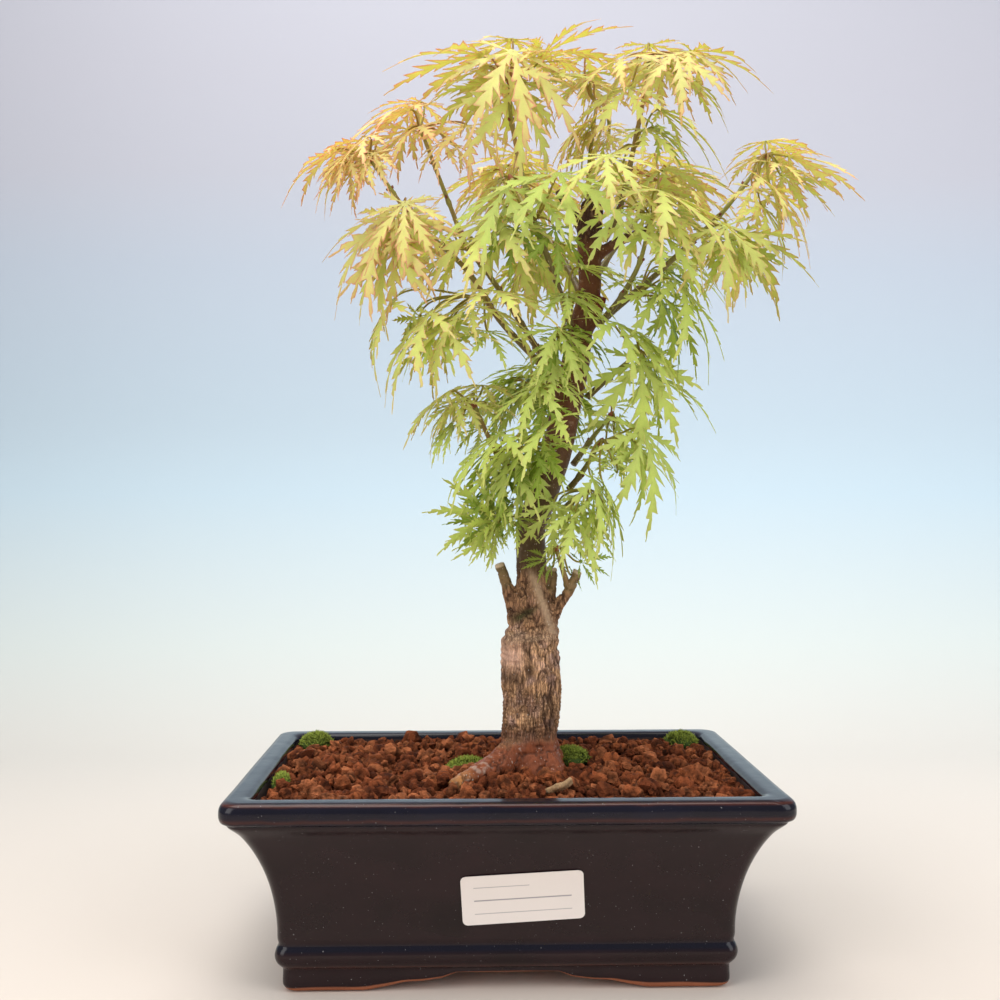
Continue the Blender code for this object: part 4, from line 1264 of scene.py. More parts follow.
@dataclass
class Trunk:
    """The trunk with its flare, surface roots and pruned stubs, grown together as one skin."""

    soil: SoilBed
    foot_x: float = 12.0
    foot_y: float = 0.0
    voxel: float = 0.53
    soft_passes: int = 8
    foot_clearing: float = 15.5
    root_clearing: float = 0.85
    long_roots: int = 5
    sawn_stubs: int = 3
    side_stubs: int = 6
    stem_sides: int = 64
    limb_sides: int = 32
    stem: tuple[tuple[float, float, float, float], ...] = (
        (-3, 0, 0, 17.5), (4, 0, 0, 14.4), (13, 0, 0, 13.0), (28, 1, 0, 13.4), (43, 0.6, 0, 13.8),
        (54, 0.6, 0, 13.0), (60, 3, 0, 10.8), (74, 2, 0, 9.9), (82, 1, 0, 7.3), (94, 1, 0, 7.0),
        (108, 1, 0, 6.7), (126, 7, 0, 7.0), (145, 13, 0, 7.1), (163, 17, 0, 6.8), (182, 21, 0, 6.7),
        (200, 24, 0, 5.8), (218, 28, 0, 5.2), (237, 28, 0, 5.6), (252, 29, 0, 5.2), (260, 29, 0, 4.4),
    )
    roots: tuple[Limb, ...] = (
        Limb(((-4, -4, 8), (-12, -14, 4), (-24, -28, 1.5), (-35, -42, -1.5)), (8.5, 6.0, 4.4, 2.8)),
        Limb(((4, -4, 5), (9, -10, 0), (12, -17, -5)), (9.0, 6.4, 3.6)),
        Limb(((4, 2, 5), (13, 5, -1), (22, 8, -6)), (9.0, 5.6, 3.0)),
        Limb(((-4, 2, 5), (-14, 6, 0), (-23, 8, -5)), (8.5, 5.2, 3.0)),
        Limb(((0, 5, 6), (-3, 15, 1), (-6, 25, -4)), (8.0, 5.4, 3.0)),
        Limb(((-5, -9, 7), (-11, -13, 10), (-15, -14, 5), (-12, -15, 1)), (3.2, 2.9, 2.6, 2.2)),
        Limb(((6, -9, 5), (10, -12, 3), (12, -13, 0)), (3.4, 3.2, 2.6)),
    )
    stubs: tuple[Limb, ...] = (
        Limb(((-4, 0, 62), (-9, -1, 78), (-14, -2, 92)), (5.4, 3.1, 2.3)),
        Limb(((8, 0, 64), (10, 0, 78), (10.5, 0, 90)), (4.6, 2.8, 2.4)),
        Limb(((7, -2, 62), (13, -4, 73), (18, -5, 80), (22, -6, 89)), (4.8, 3.0, 2.4, 2.3)),
        Limb(((5, 0, 117), (-1, -2, 125), (-3, -3, 132)), (3.0, 2.2, 1.6)),
        Limb(((24, 0, 196), (30, -2, 204), (34, -3, 215)), (3.0, 2.2, 1.9)),
        Limb(((16, 0, 170), (10, -3, 175), (8, -4, 180)), (2.8, 2.0, 1.6)),
        Limb(((28, 0, 236), (24, 2, 250), (14, 4, 266)), (3.6, 2.8, 2.0)),
        Limb(((28, 0, 232), (40, -2, 240), (56, -6, 246)), (3.2, 2.4, 1.6)),
    )
    tan: Colour = (0.56, 0.320, 0.165)
    fissure: Colour = (0.040, 0.019, 0.012)
    pink: Colour = (0.60, 0.37, 0.27)
    orange: Colour = (0.25, 0.070, 0.028)
    ochre: Colour = (0.42, 0.185, 0.060)
    olive: Colour = (0.125, 0.078, 0.042)
    red_brown: Colour = (0.155, 0.058, 0.030)
    pale_cut: Colour = (0.66, 0.52, 0.36)
    moss_green: Colour = (0.055, 0.070, 0.022)
    strip_tan: Colour = (0.44, 0.31, 0.20)
    fold_tan: Colour = (0.62, 0.42, 0.27)
    spot_tan: Colour = (0.30, 0.22, 0.15)
    lenticel_tan: Colour = (0.36, 0.22, 0.14)
    flake_tan: Colour = (0.40, 0.28, 0.22)
    fleck_tan: Colour = (0.50, 0.40, 0.34)
    dead_dark: Colour = (0.07, 0.035, 0.022)
    dead_light: Colour = (0.26, 0.15, 0.09)
    stub_green: Colour = (0.185, 0.135, 0.055)
    stub_red: Colour = (0.16, 0.022, 0.018)

    def place(self, point: Array) -> Array:
        """Points given from the trunk's foot, in the pot's frame."""
        level = float(self.soil.level(np.float64(self.foot_x), np.float64(self.foot_y)))
        return np.asarray(point, float) + (self.foot_x, self.foot_y, level)

    def clearings(self) -> Array:
        """Rounds that the granules keep out of: the trunk's foot and its surface roots.

        Returns:
            x, y and radius of each round.
        """
        rounds = [(self.foot_x, self.foot_y, self.foot_clearing)]
        for limb in self.roots[:self.long_roots]:
            for x, y, z, radius in smooth_course(np.column_stack([limb.course, limb.radii]), 4):
                if z + 0.5 * radius > -0.5:
                    rounds.append((self.foot_x + x, self.foot_y + y, radius * self.root_clearing))
        return np.array(rounds)

    def rough_body(self) -> bpy.types.Object:
        """Closed tubes for every limb, overlapping where they grow out of one another.

        Returns:
            The tubes, as one object.
        """
        body = Body("trunk")
        limbs = [(np.array(self.stem)[:, [1, 2, 0, 3]], self.stem_sides)]
        for limb in self.roots + self.stubs:
            limbs.append((np.column_stack([limb.course, limb.radii]), self.limb_sides))
        for course, sides in limbs:
            fine = smooth_course(course, 14)
            steps = np.linalg.norm(np.diff(fine[:, :3], axis=0), axis=1)
            fine = fine[np.append(True, steps > 0.05)]
            body.grid(tube(self.place(fine[:, :3]), fine[:, 3], sides), (0, 0, 0, 0))
        return body.finish([])

    def skin(self) -> tuple[Array, Array]:
        """One closed skin round all the limbs, softened where they meet.

        Returns:
            The skin's points, in the pot's frame, and its faces.
        """
        rough = self.rough_body()
        remesh = rough.modifiers.new("one_skin", "REMESH")
        remesh.mode = "VOXEL"
        remesh.voxel_size = self.voxel * MM
        soft = rough.modifiers.new("soft_joints", "SMOOTH")
        soft.factor, soft.iterations = 0.5, self.soft_passes
        bpy.context.view_layer.update()
        evaluated = rough.evaluated_get(bpy.context.evaluated_depsgraph_get())
        mesh = evaluated.to_mesh()
        points = np.empty(len(mesh.vertices) * 3, np.float32)
        mesh.vertices.foreach_get("co", points)
        corners = np.empty(len(mesh.loops), np.int32)
        mesh.loops.foreach_get("vertex_index", corners)
        evaluated.to_mesh_clear()
        bpy.data.meshes.remove(rough.data)
        points = points.reshape(-1, 3).astype(float) / MM - (SITE.centre_x, SITE.centre_y, 0.0)
        return points, corners.reshape(-1, 4)

    def outward(self, points: Array, faces: Array) -> Array:
        """Each point's outward direction: the mean of its faces' normals.

        Args:
            points: The skin's points.
            faces: Its quads.

        Returns:
            A unit direction for each point.
        """
        a, b, c, d = (points[faces[:, k]] for k in range(4))
        normal = np.cross(c - a, d - b)
        total = np.zeros_like(points)
        for k in range(4):
            np.add.at(total, faces[:, k], normal)
        return unit(total)

    def crevice(self, local: Array) -> Array:
        """The mossy cleft under the left stub.

        Args:
            local: Points from the trunk's foot.

        Returns:
            How deep in it each point lies, from 0 to 1.
        """
        x, y, z = np.moveaxis(local, -1, 0)
        rise = (z - 68.5 - 0.45 * (x + 4.0) - 1.2 * value_noise(local, 5.0, 57)) / 2.4
        return np.exp(-(rise**2) - ((x + 4.0) / 7.0) ** 4) * ramp(-y, 1.0, 6.0)

    def strip(self, local: Array, width: float) -> Array:
        """The smooth strip that slants up across the stubs: 1 along its middle, 0 beside it."""
        slant = local[..., 0] - 8.5 + 0.36 * (local[..., 2] - 66.0)
        return bell(slant, 0.0, width)

    def band(self, local: Array) -> Array:
        """The wrinkled pale band on the trunk's left side, from 0 to 1."""
        return ramp(-local[..., 0], 0.0, 7.0) * bell(local[..., 2], 50.0, 7.0)

    def gnarl(self, local: Array) -> Array:
        """The creases of the flared foot: 1 in a crease and 0 outside."""
        return 1.0 - ramp(np.abs(layered_noise(local, 5.0, 67)), 0.0, 0.14)

    def relief(self, local: Array) -> tuple[Array, Array]:
        """The bark's relief, and how deep in a fissure each point lies.

        Old bark below 60 mm splits into upright plates; round the stubs it flakes; above, it is
        nearly smooth with low ridges across. The relief is a sum of these, each inside its zone.

        Args:
            local: Points from the trunk's foot.

        Returns:
            Relief in millimetres and a fissure share from 0 to 1.
        """
        height = local[..., 2]
        z = height + 3.0 * layered_noise(local, 14.0, 40)
        old = ramp(z, 9.0, 16.0) * (1.0 - ramp(z, 84.0, 92.0))
        lower = ramp(z, 10.0, 16.0) * (1.0 - ramp(z, 56.0, 64.0))
        upper = ramp(z, 58.0, 66.0) * (1.0 - ramp(z, 84.0, 92.0))
        bent = local + 1.6 * np.stack([value_noise(local, 6.0, s) for s in (41, 42, 43)], axis=-1)
        upright = np.abs(layered_noise(bent * (1.0, 1.0, 0.16), 4.0, 44, 2))
        small = np.abs(layered_noise(bent * (1.0, 1.0, 0.3), 2.2, 45, 2))
        split = np.maximum(1.0 - ramp(upright, 0.0, 0.16), 0.7 * (1.0 - ramp(small, 0.0, 0.16)))
        flakes = np.abs(layered_noise(bent * (1.0, 1.0, 0.7), 3.0, 46, 2))
        flake = 1.0 - ramp(flakes, 0.0, 0.2)
        band = self.band(local)
        strip = self.strip(local, 2.8) * ramp(-local[..., 1], 0, 4)
        crack = split * lower * (1.0 - 0.75 * band) + flake * upper * (1.0 - 0.85 * strip)
        depth = -0.95 * crack + 0.55 * layered_noise(local, 7.0, 48) * old
        wrinkle = np.sin(height * 2.1 + 2.5 * value_noise(local, 7.0, 47))
        depth = depth + 0.22 * band * wrinkle + 0.34 * layered_noise(local, 1.7, 49) * old
        shoulder = bell(height, 56.5, 2.6) * ramp(-local[..., 0], 0.0, 7.0)
        cleft = self.crevice(local)
        depth = depth + 0.5 * shoulder - 1.5 * cleft
        fold = np.sin(height * 1.7 + 3.0 * value_noise(local, 8.0, 56))
        depth = depth + 0.5 * fold * bell(height, 60.0, 5.0) * (1.0 - cleft)
        crinkle = np.sin(height * 3.4 + 3.0 * value_noise(local, 4.0, 50))
        depth = depth + 0.16 * crinkle * lower * (1.0 - ramp(height, 30.0, 40.0))
        foot = 0.9 * layered_noise(local * (1.0, 1.0, 0.6), 5.0, 51) + 0.25 * layered_noise(local, 1.6, 52)
        depth = depth + (1.0 - ramp(z, 8.0, 15.0)) * (foot - 0.7 * self.gnarl(local))
        young = ramp(z, 84.0, 92.0)
        ring = np.abs(layered_noise(local * (0.25, 0.25, 1.0), 1.8, 53, 2))
        ridges = 0.20 * layered_noise(local, 6.0, 54) - 0.10 * (1.0 - ramp(ring, 0.0, 0.15))
        depth = depth + young * ridges
        depth = depth + ramp(height, 236.0, 243.0) * 0.9 * layered_noise(local, 2.6, 55)
        return depth, np.clip(crack, 0.0, 1.0)

    def colours(self, local: Array, crack: Array) -> Array:
        """The bark's colours by zone, with painted shade in a band above the flared foot and, together with
        the darker inner bark, in the fissures.

        Args:
            local: Points from the trunk's foot.
            crack: Each point's fissure share.

        Returns:
            Colour and smoothness for each point.
        """
        x, y, z = np.moveaxis(local, -1, 0)
        soft = z + 3.5 * layered_noise(local, 11.0, 60)
        patch = layered_noise(local, 5.0, 61)
        fine = layered_noise(local * (1, 1, 0.5), 1.3, 62)
        broad = layered_noise(local, 9.0, 68)[..., None]
        in_front = ramp(-y, 0.0, 4.0)
        tone = mix(self.tan, self.pink, ramp(patch, -0.2, 0.6))
        tone = tone * (1.05 + 0.62 * fine[..., None]) * (1.0 + 0.22 * broad)
        rust = ramp(layered_noise(local * (1.0, 1.0, 0.6), 6.0, 69), 0.1, 0.5)
        tone = mix(tone, self.red_brown, 0.42 * rust)
        band = self.band(local)
        tone = mix(tone, np.array(self.pink) * 1.3, band * 0.85)
        dark_patch = ramp(-x, 0.0, 7.0) * bell(z, 40.0, 3.0)
        tone = mix(tone, self.fissure, 0.65 * dark_patch)
        brown = mix(self.tan, self.red_brown, 0.5 + 0.3 * patch)
        tone = mix(tone, brown, ramp(soft, 60.0, 68.0) * 0.85)
        strip = self.strip(local, 2.4) * ramp(z, 56.0, 62.0) * (1 - ramp(z, 86.0, 96.0)) * in_front
        tone = mix(tone, self.strip_tan, strip * 0.9)
        fold = bell(z - 1.2 * patch, 59.0, 2.6) * ramp(-y, 0.0, 6.0)
        tone = mix(tone, self.fold_tan, 0.6 * fold)
        # Painted shade: a deep red-brown band just above the flared foot, where the trunk meets the flare.
        tone = mix(tone, self.red_brown, 0.75 * bell(z, 14.5, 4.5))
        tone = mix(tone, self.moss_green, self.crevice(local) * 0.92)
        tone = mix(tone, self.young_bark(local, soft, patch), ramp(soft, 84.0, 92.0))
        # The fissures darken towards the fissure colour: partly the darker inner bark, partly painted shade
        # in the splits.
        tone = mix(tone, self.fissure, crack * 0.85)
        tone = mix(self.foot_bark(local, fine), tone, ramp(soft, 10.0, 15.0))
        top = ramp(z, 236.0, 244.0)
        tone = mix(tone, mix(self.dead_dark, self.dead_light, ramp(fine, 0.0, 0.6)), top)
        smooth = np.maximum(0.40 * strip, 0.30 * band)
        smooth = np.maximum(smooth, 0.7 * (1.0 - ramp(soft, 8.0, 15.0)))
        smooth = np.maximum(smooth, ramp(soft, 86.0, 100.0) * (1.0 - top) * 0.8)
        return tinted(tone, smooth)

    def young_bark(self, local: Array, soft: Array, patch: Array) -> Array:
        """Colours of the smooth upper bark: olive, then red-brown, with spots and lenticels.

        Args:
            local: Points from the trunk's foot.
            soft: Each point's height, roughened.
            patch: Broad noise.

        Returns:
            A colour for each point.
        """
        young = mix(self.olive, self.red_brown, ramp(soft, 118.0, 165.0))
        spots = ramp(layered_noise(local * (1, 1, 1.3), 1.5, 63, 2), 0.25, 0.6)
        spots = 0.45 * spots * (1 - ramp(soft, 110, 150))
        young = mix(young * (1.0 + 0.25 * patch[..., None]), self.spot_tan, spots)
        lenticel = ramp(value_noise(local * (1.0, 1.0, 1.8), 2.0, 64), 0.5, 0.8)
        return mix(young, self.lenticel_tan, 0.5 * lenticel * ramp(soft, 100.0, 140.0))

    def foot_bark(self, local: Array, fine: Array) -> Array:
        """Colours of the flared foot and the roots: orange and ochre with pale flakes, and painted shade in
        the creases.

        Args:
            local: Points from the trunk's foot.
            fine: Fine noise.

        Returns:
            A colour for each point.
        """
        x, y = local[..., 0], local[..., 1]
        base = mix(self.orange, self.ochre, ramp(-x - 0.6 * y, 42.0, 60.0))
        base = base * (0.9 + 0.3 * fine[..., None])
        flaky = ramp(layered_noise(local, 3.2, 65), 0.22, 0.5)
        base = mix(base, self.flake_tan, 0.7 * flaky * ramp(-x - 0.5 * y, 6.0, 24.0))
        white = ramp(value_noise(local, 0.95, 66), 0.72, 0.85)
        base = mix(base, self.fleck_tan, white * 0.5)
        # Painted shade in the creases of the flared foot.
        return mix(base, self.fissure, 0.6 * self.gnarl(local))

    def cut_ends(self, local: Array, colours: Array) -> Array:
        """Paler wood on the stubs' sawn ends and darker red bark along the young ones.

        Args:
            local: Points from the trunk's foot.
            colours: Colours so far.

        Returns:
            The colours with the stubs in them.
        """
        for i, limb in enumerate(self.stubs[:self.side_stubs]):
            tip, before = np.array(limb.course[-1]), np.array(limb.course[-2])
            ahead = unit(tip - before)
            beyond = (local - tip) @ ahead
            away = np.linalg.norm(local - tip - beyond[:, None] * ahead, axis=1)
            near = ((away < limb.radii[-1] * 1.6) & (beyond < 2.5)).astype(float)
            if i < self.sawn_stubs:
                bark = near * ramp(beyond, -14.0, -9.0)
                colours[:, :3] = mix(colours[:, :3], self.stub_green, bark * 0.75)
                colours[:, 3] = np.maximum(colours[:, 3], 0.9 * bark)
                cut = near * ramp(beyond, -1.9, -1.2)
                colours[:, :3] = mix(colours[:, :3], self.pale_cut, cut * 0.85)
            else:
                young = near * ramp(beyond, -9.0, -5.0)
                colours[:, :3] = mix(colours[:, :3], self.stub_red, young * 0.85)
        return colours

    def build(self, finish: Material) -> None:
        """Makes the skin, cuts its relief and colours it.

        Args:
            finish: Bark.
        """
        points, faces = self.skin()
        local = points - self.place((0, 0, 0))
        depth, crack = self.relief(local)
        tint = self.cut_ends(local, self.colours(local, crack))
        points = points + self.outward(points, faces) * depth[:, None]
        body = Body("trunk")
        body.add(points, tint, [faces])
        settle(body.finish([finish]), "bark", "trunk")


# --- shoots and leaves


class Tone(Enum):
    """How far a leaf has coloured: its blade's and its margin's colour."""

    CORAL = ((0.93, 0.84, 0.380), (0.86, 0.27, 0.24))
    GOLD = ((0.87, 0.85, 0.330), (0.86, 0.37, 0.28))
    LEMON = ((0.76, 0.81, 0.240), (0.84, 0.54, 0.30))
    LIME = ((0.64, 0.76, 0.190), (0.76, 0.70, 0.26))
    GREEN = ((0.35, 0.50, 0.060), (0.44, 0.53, 0.09))


@dataclass(frozen=True)
class Leaf:
    """One leaf: the middle of its blade from the trunk's foot, how it hangs, and its length."""

    x: float
    y: float
    z: float
    heading: float
    pitch: float
    roll: float
    length: float


@dataclass(frozen=True)
class Spray:
    """Leaves that leave a shoot together, at a share of its length (1 is its tip)."""

    place: float
    tone: Tone
    leaves: tuple[Leaf, ...]


@dataclass(frozen=True)
class Shoot:
    """A young stem: its course from the trunk's foot, and its sprays of leaves."""

    name: str
    course: Line
    sprays: tuple[Spray, ...]


SHOOTS: tuple[Shoot, ...] = (
    Shoot("crown_left", ((19, -6, 201), (9, -14, 227), (0, -20, 250), (-9, -28, 286), (-10, -30, 303)), (
        Spray(1.0, Tone.GOLD, (
            Leaf(-9, -20, 327, 100, 5, 0, 44), Leaf(-9, -38, 314, -75, -55, 0, 52),
            Leaf(-21, -32, 315, 162, 2, 0, 50), Leaf(5, -18, 321, -27, 23, 0, 44),
        )),
        Spray(0.45, Tone.LIME, (
            Leaf(11, -40, 261, -85, -35, 0, 48), Leaf(-12, -34, 256, 239, -42, 0, 44),
        )),
    )),
    Shoot("crown_back", ((29, 8, 247), (29, 14, 267), (31, 20, 293), (34, 24, 313)), (
        Spray(1.0, Tone.GOLD, (
            Leaf(29, 8, 300, 183, -32, 0, 36), Leaf(38, 12, 299, -139, -20, 0, 22),
            Leaf(29, 26, 338, 80, 8, 0, 44),
        )),
    )),
    Shoot("crown_right", ((35, 2, 242), (41, 0, 253), (45, -4, 269), (53, -10, 310), (54, -12, 322)), (
        Spray(1.0, Tone.GOLD, (
            Leaf(40, -22, 318, 224, -25, 0, 44), Leaf(64, -22, 320, -84, -40, 0, 40),
            Leaf(75, -6, 328, -5, -10, 0, 42), Leaf(58, 12, 338, 75, -7, 0, 40),
        )),
        Spray(0.5, Tone.LEMON, (
            Leaf(58, -20, 296, -20, -25, 0, 44), Leaf(36, -20, 276, 200, -25, 0, 34),
        )),
    )),
    Shoot("right_long", ((34, 4, 205), (58, -2, 225), (81, -6, 246), (90, -8, 255), (108, -8, 278)), (
        Spray(1.0, Tone.GOLD, (
            Leaf(112, 4, 290, 60, 5, 0, 34), Leaf(118, -12, 278, -5, -12, 0, 40),
            Leaf(103, -26, 263, -25, -38, 0, 42),
        )),
        Spray(0.62, Tone.LEMON, (
            Leaf(85, -32, 241, -95, -58, 0, 40), Leaf(94, -22, 240, 38, -18, 0, 46),
        )),
        Spray(0.16, Tone.LIME, (
            Leaf(65, -22, 218, -30, -48, 0, 48), Leaf(69, 26, 240, 8, -20, 0, 40),
        )),
    )),
    Shoot("right_inner", ((32, -6, 202), (41, -12, 213), (49, -16, 228), (53, -20, 245)), (
        Spray(1.0, Tone.LEMON, (
            Leaf(54, -40, 254, -50, -26, 0, 54), Leaf(30, -50, 266, -100, -35, 0, 38),
            Leaf(59, -20, 269, 40, 8, 0, 42),
        )),
    )),
    Shoot("right_mid", ((27, 2, 169), (36, 0, 177), (49, -4, 188)), (
        Spray(1.0, Tone.LIME, (
            Leaf(38, -24, 199, -40, -32, 0, 46), Leaf(58, 0, 179, -8, -22, 0, 38),
            Leaf(49, -18, 183, -81, -72, 0, 46),
        )),
    )),
    Shoot("right_low", ((18, -4, 126), (24, -8, 134), (31, -12, 146)), (
        Spray(1.0, Tone.LIME, (
            Leaf(51, -14, 152, -51, -66, 0, 48), Leaf(36, -22, 138, 94, 52, 0, 22),
            Leaf(26, -30, 130, -25, -56, 0, 44),
        )),
    )),
    Shoot("right_front", ((14, -8, 115), (18, -14, 120), (24, -20, 124)), (
        Spray(1.0, Tone.LIME, (
            Leaf(26, -34, 122, -30, -64, 0, 29), Leaf(17, -36, 115, -45, -50, 0, 34),
            Leaf(9, -32, 119, -76, -89, 0, 28),
        )),
    )),
    Shoot("right_rear", ((21, 6, 138), (30, 12, 150), (39, 16, 161)), (
        Spray(1.0, Tone.LIME, (
            Leaf(41, 22, 167, 80, 35, 0, 20), Leaf(42, 14, 160, -49, -38, 0, 44),
            Leaf(48, 34, 148, 8, -20, 0, 38),
        )),
    )),
    Shoot("left_low", ((-2, -2, 125), (-9, -5, 136), (-16, -7, 143), (-20, -8, 152), (-25, -8, 163)), (
        Spray(1.0, Tone.LEMON, (
            Leaf(-37, -12, 170, 190, -30, 0, 34), Leaf(-22, 8, 175, 110, -5, 0, 28),
        )),
        Spray(0.5, Tone.LIME, (
            Leaf(-14, -26, 150, 205, -32, 0, 46), Leaf(10, -34, 156, 195, -32, 0, 44),
        )),
    )),
    Shoot("left_fan", ((5, -8, 113), (-5, -14, 110), (-11, -18, 112)), (
        Spray(1.0, Tone.LIME, (
            Leaf(-18, -22, 115, 180, 5, 75, 32), Leaf(-8, -26, 121, 215, -28, 0, 19),
        )),
    )),
    Shoot("left_long", ((12, -3, 177), (-13, -8, 202), (-29, -8, 226), (-54, -8, 250), (-72, -8, 275)), (
        Spray(1.0, Tone.CORAL, (
            Leaf(-88, -10, 280, 188, -28, 0, 38), Leaf(-73, -22, 282, 215, -35, 0, 30),
            Leaf(-74, 10, 290, 140, -5, 0, 36),
        )),
        Spray(0.8, Tone.GOLD, (
            Leaf(-56, -28, 251, -100, -60, 0, 36), Leaf(-66, -14, 250, 241, -58, 0, 54),
        )),
        Spray(0.38, Tone.LEMON, (
            Leaf(-63, -6, 212, 195, -54, 0, 40), Leaf(-45, -20, 204, 205, -45, 0, 50),
            Leaf(-19, -28, 213, -70, -13, 0, 42),
        )),
    )),
    Shoot("left_upper", ((11, 4, 181), (-16, 10, 224), (-29, 10, 241), (-36, 10, 258), (-50, 4, 293)), (
        Spray(1.0, Tone.CORAL, (
            Leaf(-55, -6, 300, 208, -14, 0, 42), Leaf(-51, 16, 311, 130, 0, 0, 38),
            Leaf(-29, -8, 292, -80, -45, 0, 34),
        )),
        Spray(0.55, Tone.LEMON, (
            Leaf(-17, -24, 246, 241, -36, 0, 52), Leaf(-42, 28, 253, 160, -20, 0, 42),
        )),
    )),
    Shoot("front_mid", ((21, -7, 190), (18, -13, 194), (15, -17, 196)), (
        Spray(1.0, Tone.LIME, (
            Leaf(11, -28, 196, -72, -40, 0, 34), Leaf(3, -26, 171, 240, -26, 0, 36),
            Leaf(21, -26, 224, -20, -5, 0, 32),
        )),
    )),
    Shoot("basal_sprout", ((18, -4, 80), (15, -7, 89), (12, -9, 98)), (
        Spray(1.0, Tone.GREEN, (
            Leaf(8, -12, 94, 185, 10, 50, 15), Leaf(23, -8, 93, 5, 15, 60, 17),
        )),
    )),
    Shoot("back_left", ((25, 8, 218), (17, 28, 241), (3, 46, 265), (-6, 56, 286)), (
        Spray(1.0, Tone.GOLD, (
            Leaf(-15, 70, 295, 170, -15, 0, 46), Leaf(-3, 78, 306, 95, -15, 0, 44),
            Leaf(9, 66, 291, 40, -10, 0, 40),
        )),
        Spray(0.45, Tone.LEMON, (
            Leaf(-2, 50, 241, 150, -40, 0, 46), Leaf(19, 56, 253, 70, -35, 0, 42),
        )),
    )),
    Shoot("back_right", ((30, 10, 223), (43, 30, 244), (58, 46, 265), (70, 56, 285)), (
        Spray(1.0, Tone.GOLD, (
            Leaf(87, 66, 292, 15, -18, 0, 44), Leaf(71, 78, 306, 85, -15, 0, 44),
            Leaf(54, 66, 296, 140, 2, 0, 40),
        )),
    )),
    Shoot("back_low", ((16, 8, 152), (13, 26, 167), (5, 40, 178)), (
        Spray(1.0, Tone.LIME, (
            Leaf(-7, 50, 183, 165, -35, 0, 42), Leaf(3, 56, 190, 110, -8, 0, 40),
            Leaf(21, 54, 183, 30, -30, 0, 38),
        )),
    )),
)


@dataclass
class Growth:
    """The young wood: slim shoots with swollen nodes and small paired buds."""

    base_radius: float = 1.65
    tip_radius: float = 0.85
    node_spacing: float = 17.0
    swelling: float = 0.42
    lowest_node: float = 8.0
    bud_length: float = 1.9
    steps: int = 16
    sides: int = 14
    old: Colour = (0.16, 0.115, 0.035)
    young: Colour = (0.30, 0.29, 0.060)
    blush: Colour = (0.34, 0.10, 0.045)
    bud: Colour = (0.20, 0.045, 0.025)

    def course(self, shoot: Shoot, trunk: Trunk) -> Array:
        """A shoot's centre line, finely stepped, in the pot's frame."""
        return smooth_course(trunk.place(shoot.course), self.steps)

    def radii(self, path: Array) -> tuple[Array, Array]:
        """Radii along a path: an even taper with a swelling at each node.

        Args:
            path: The shoot's centre line.

        Returns:
            The radii, and the length walked to each point.
        """
        walked = np.append(0.0, np.cumsum(np.linalg.norm(np.diff(path, axis=0), axis=1)))
        share = walked / walked[-1]
        taper = self.base_radius + (self.tip_radius - self.base_radius) * share**0.8
        half = self.node_spacing / 2
        from_node = (walked - walked[-1] + half) % self.node_spacing - half
        return taper + self.swelling * bell(from_node, 0.0, 1.1), walked

    def tint(self, rings: Array, share: Array) -> Array:
        """Brown-green at the foot, fresher at the tip, with a red flush on patches.

        Args:
            rings: The shoot's grid.
            share: Each ring's share of its length.

        Returns:
            Colour and bareness for each grid point.
        """
        colour = mix(self.old, self.young, ramp(share, 0.1, 0.8)[:, None] + 0 * rings[..., 0])
        flush = ramp(layered_noise(rings * (1, 1, 0.4), 9.0, 70), 0.0, 0.6)
        return tinted(mix(colour, self.blush, 0.55 * flush))

    def bud_pair(self, body: Body, at: Array, ahead: Array, across: Array, size: float) -> None:
        """Two small pointed buds on either side of a node, leaning forwards.

        Args:
            body: The piece that they belong to.
            at: The node's middle.
            ahead: The shoot's direction.
            across: A direction across it.
            size: A bud's length.
        """
        share = np.linspace(0.0, 1.0, 7)
        for side in (-1, 1):
            lean = unit(ahead + side * 0.6 * across)
            path = at + side * across * 0.8 + lean * (share * size)[:, None]
            girth = 0.34 * size * np.sin(math.pi * (0.12 + 0.85 * share)) ** 0.8
            body.grid(tube(path, girth, 8), tinted(self.bud))

    def build(self, shoot: Shoot, trunk: Trunk, finish: Material) -> None:
        """Makes one shoot.

        Args:
            shoot: Its course.
            trunk: The trunk that it grows from.
            finish: Young bark.
        """
        path = self.course(shoot, trunk)
        radii, walked = self.radii(path)
        rings = tube(path, radii, self.sides)
        body = Body(f"shoot_{shoot.name}")
        body.grid(rings, self.tint(rings, walked / walked[-1]))
        across, up = carried_frames(path)
        ahead = unit(np.gradient(path, axis=0))
        nodes = np.arange(walked[-1] - self.node_spacing, self.lowest_node, -self.node_spacing)
        for i, place in enumerate(nodes):
            k = int(np.searchsorted(walked, place))
            self.bud_pair(body, path[k], ahead[k], across[k] if i % 2 else up[k], self.bud_length)
        settle(body.finish([finish]), "young_stem", f"shoot_{shoot.name}")


@dataclass(frozen=True)
class Blade:
    """A leaf in the making: its piece, its length, its middle, its directions and its colours."""

    body: Body
    length: float
    middle: Array
    ahead: Array
    side: Array
    face: Array
    tone: Tone


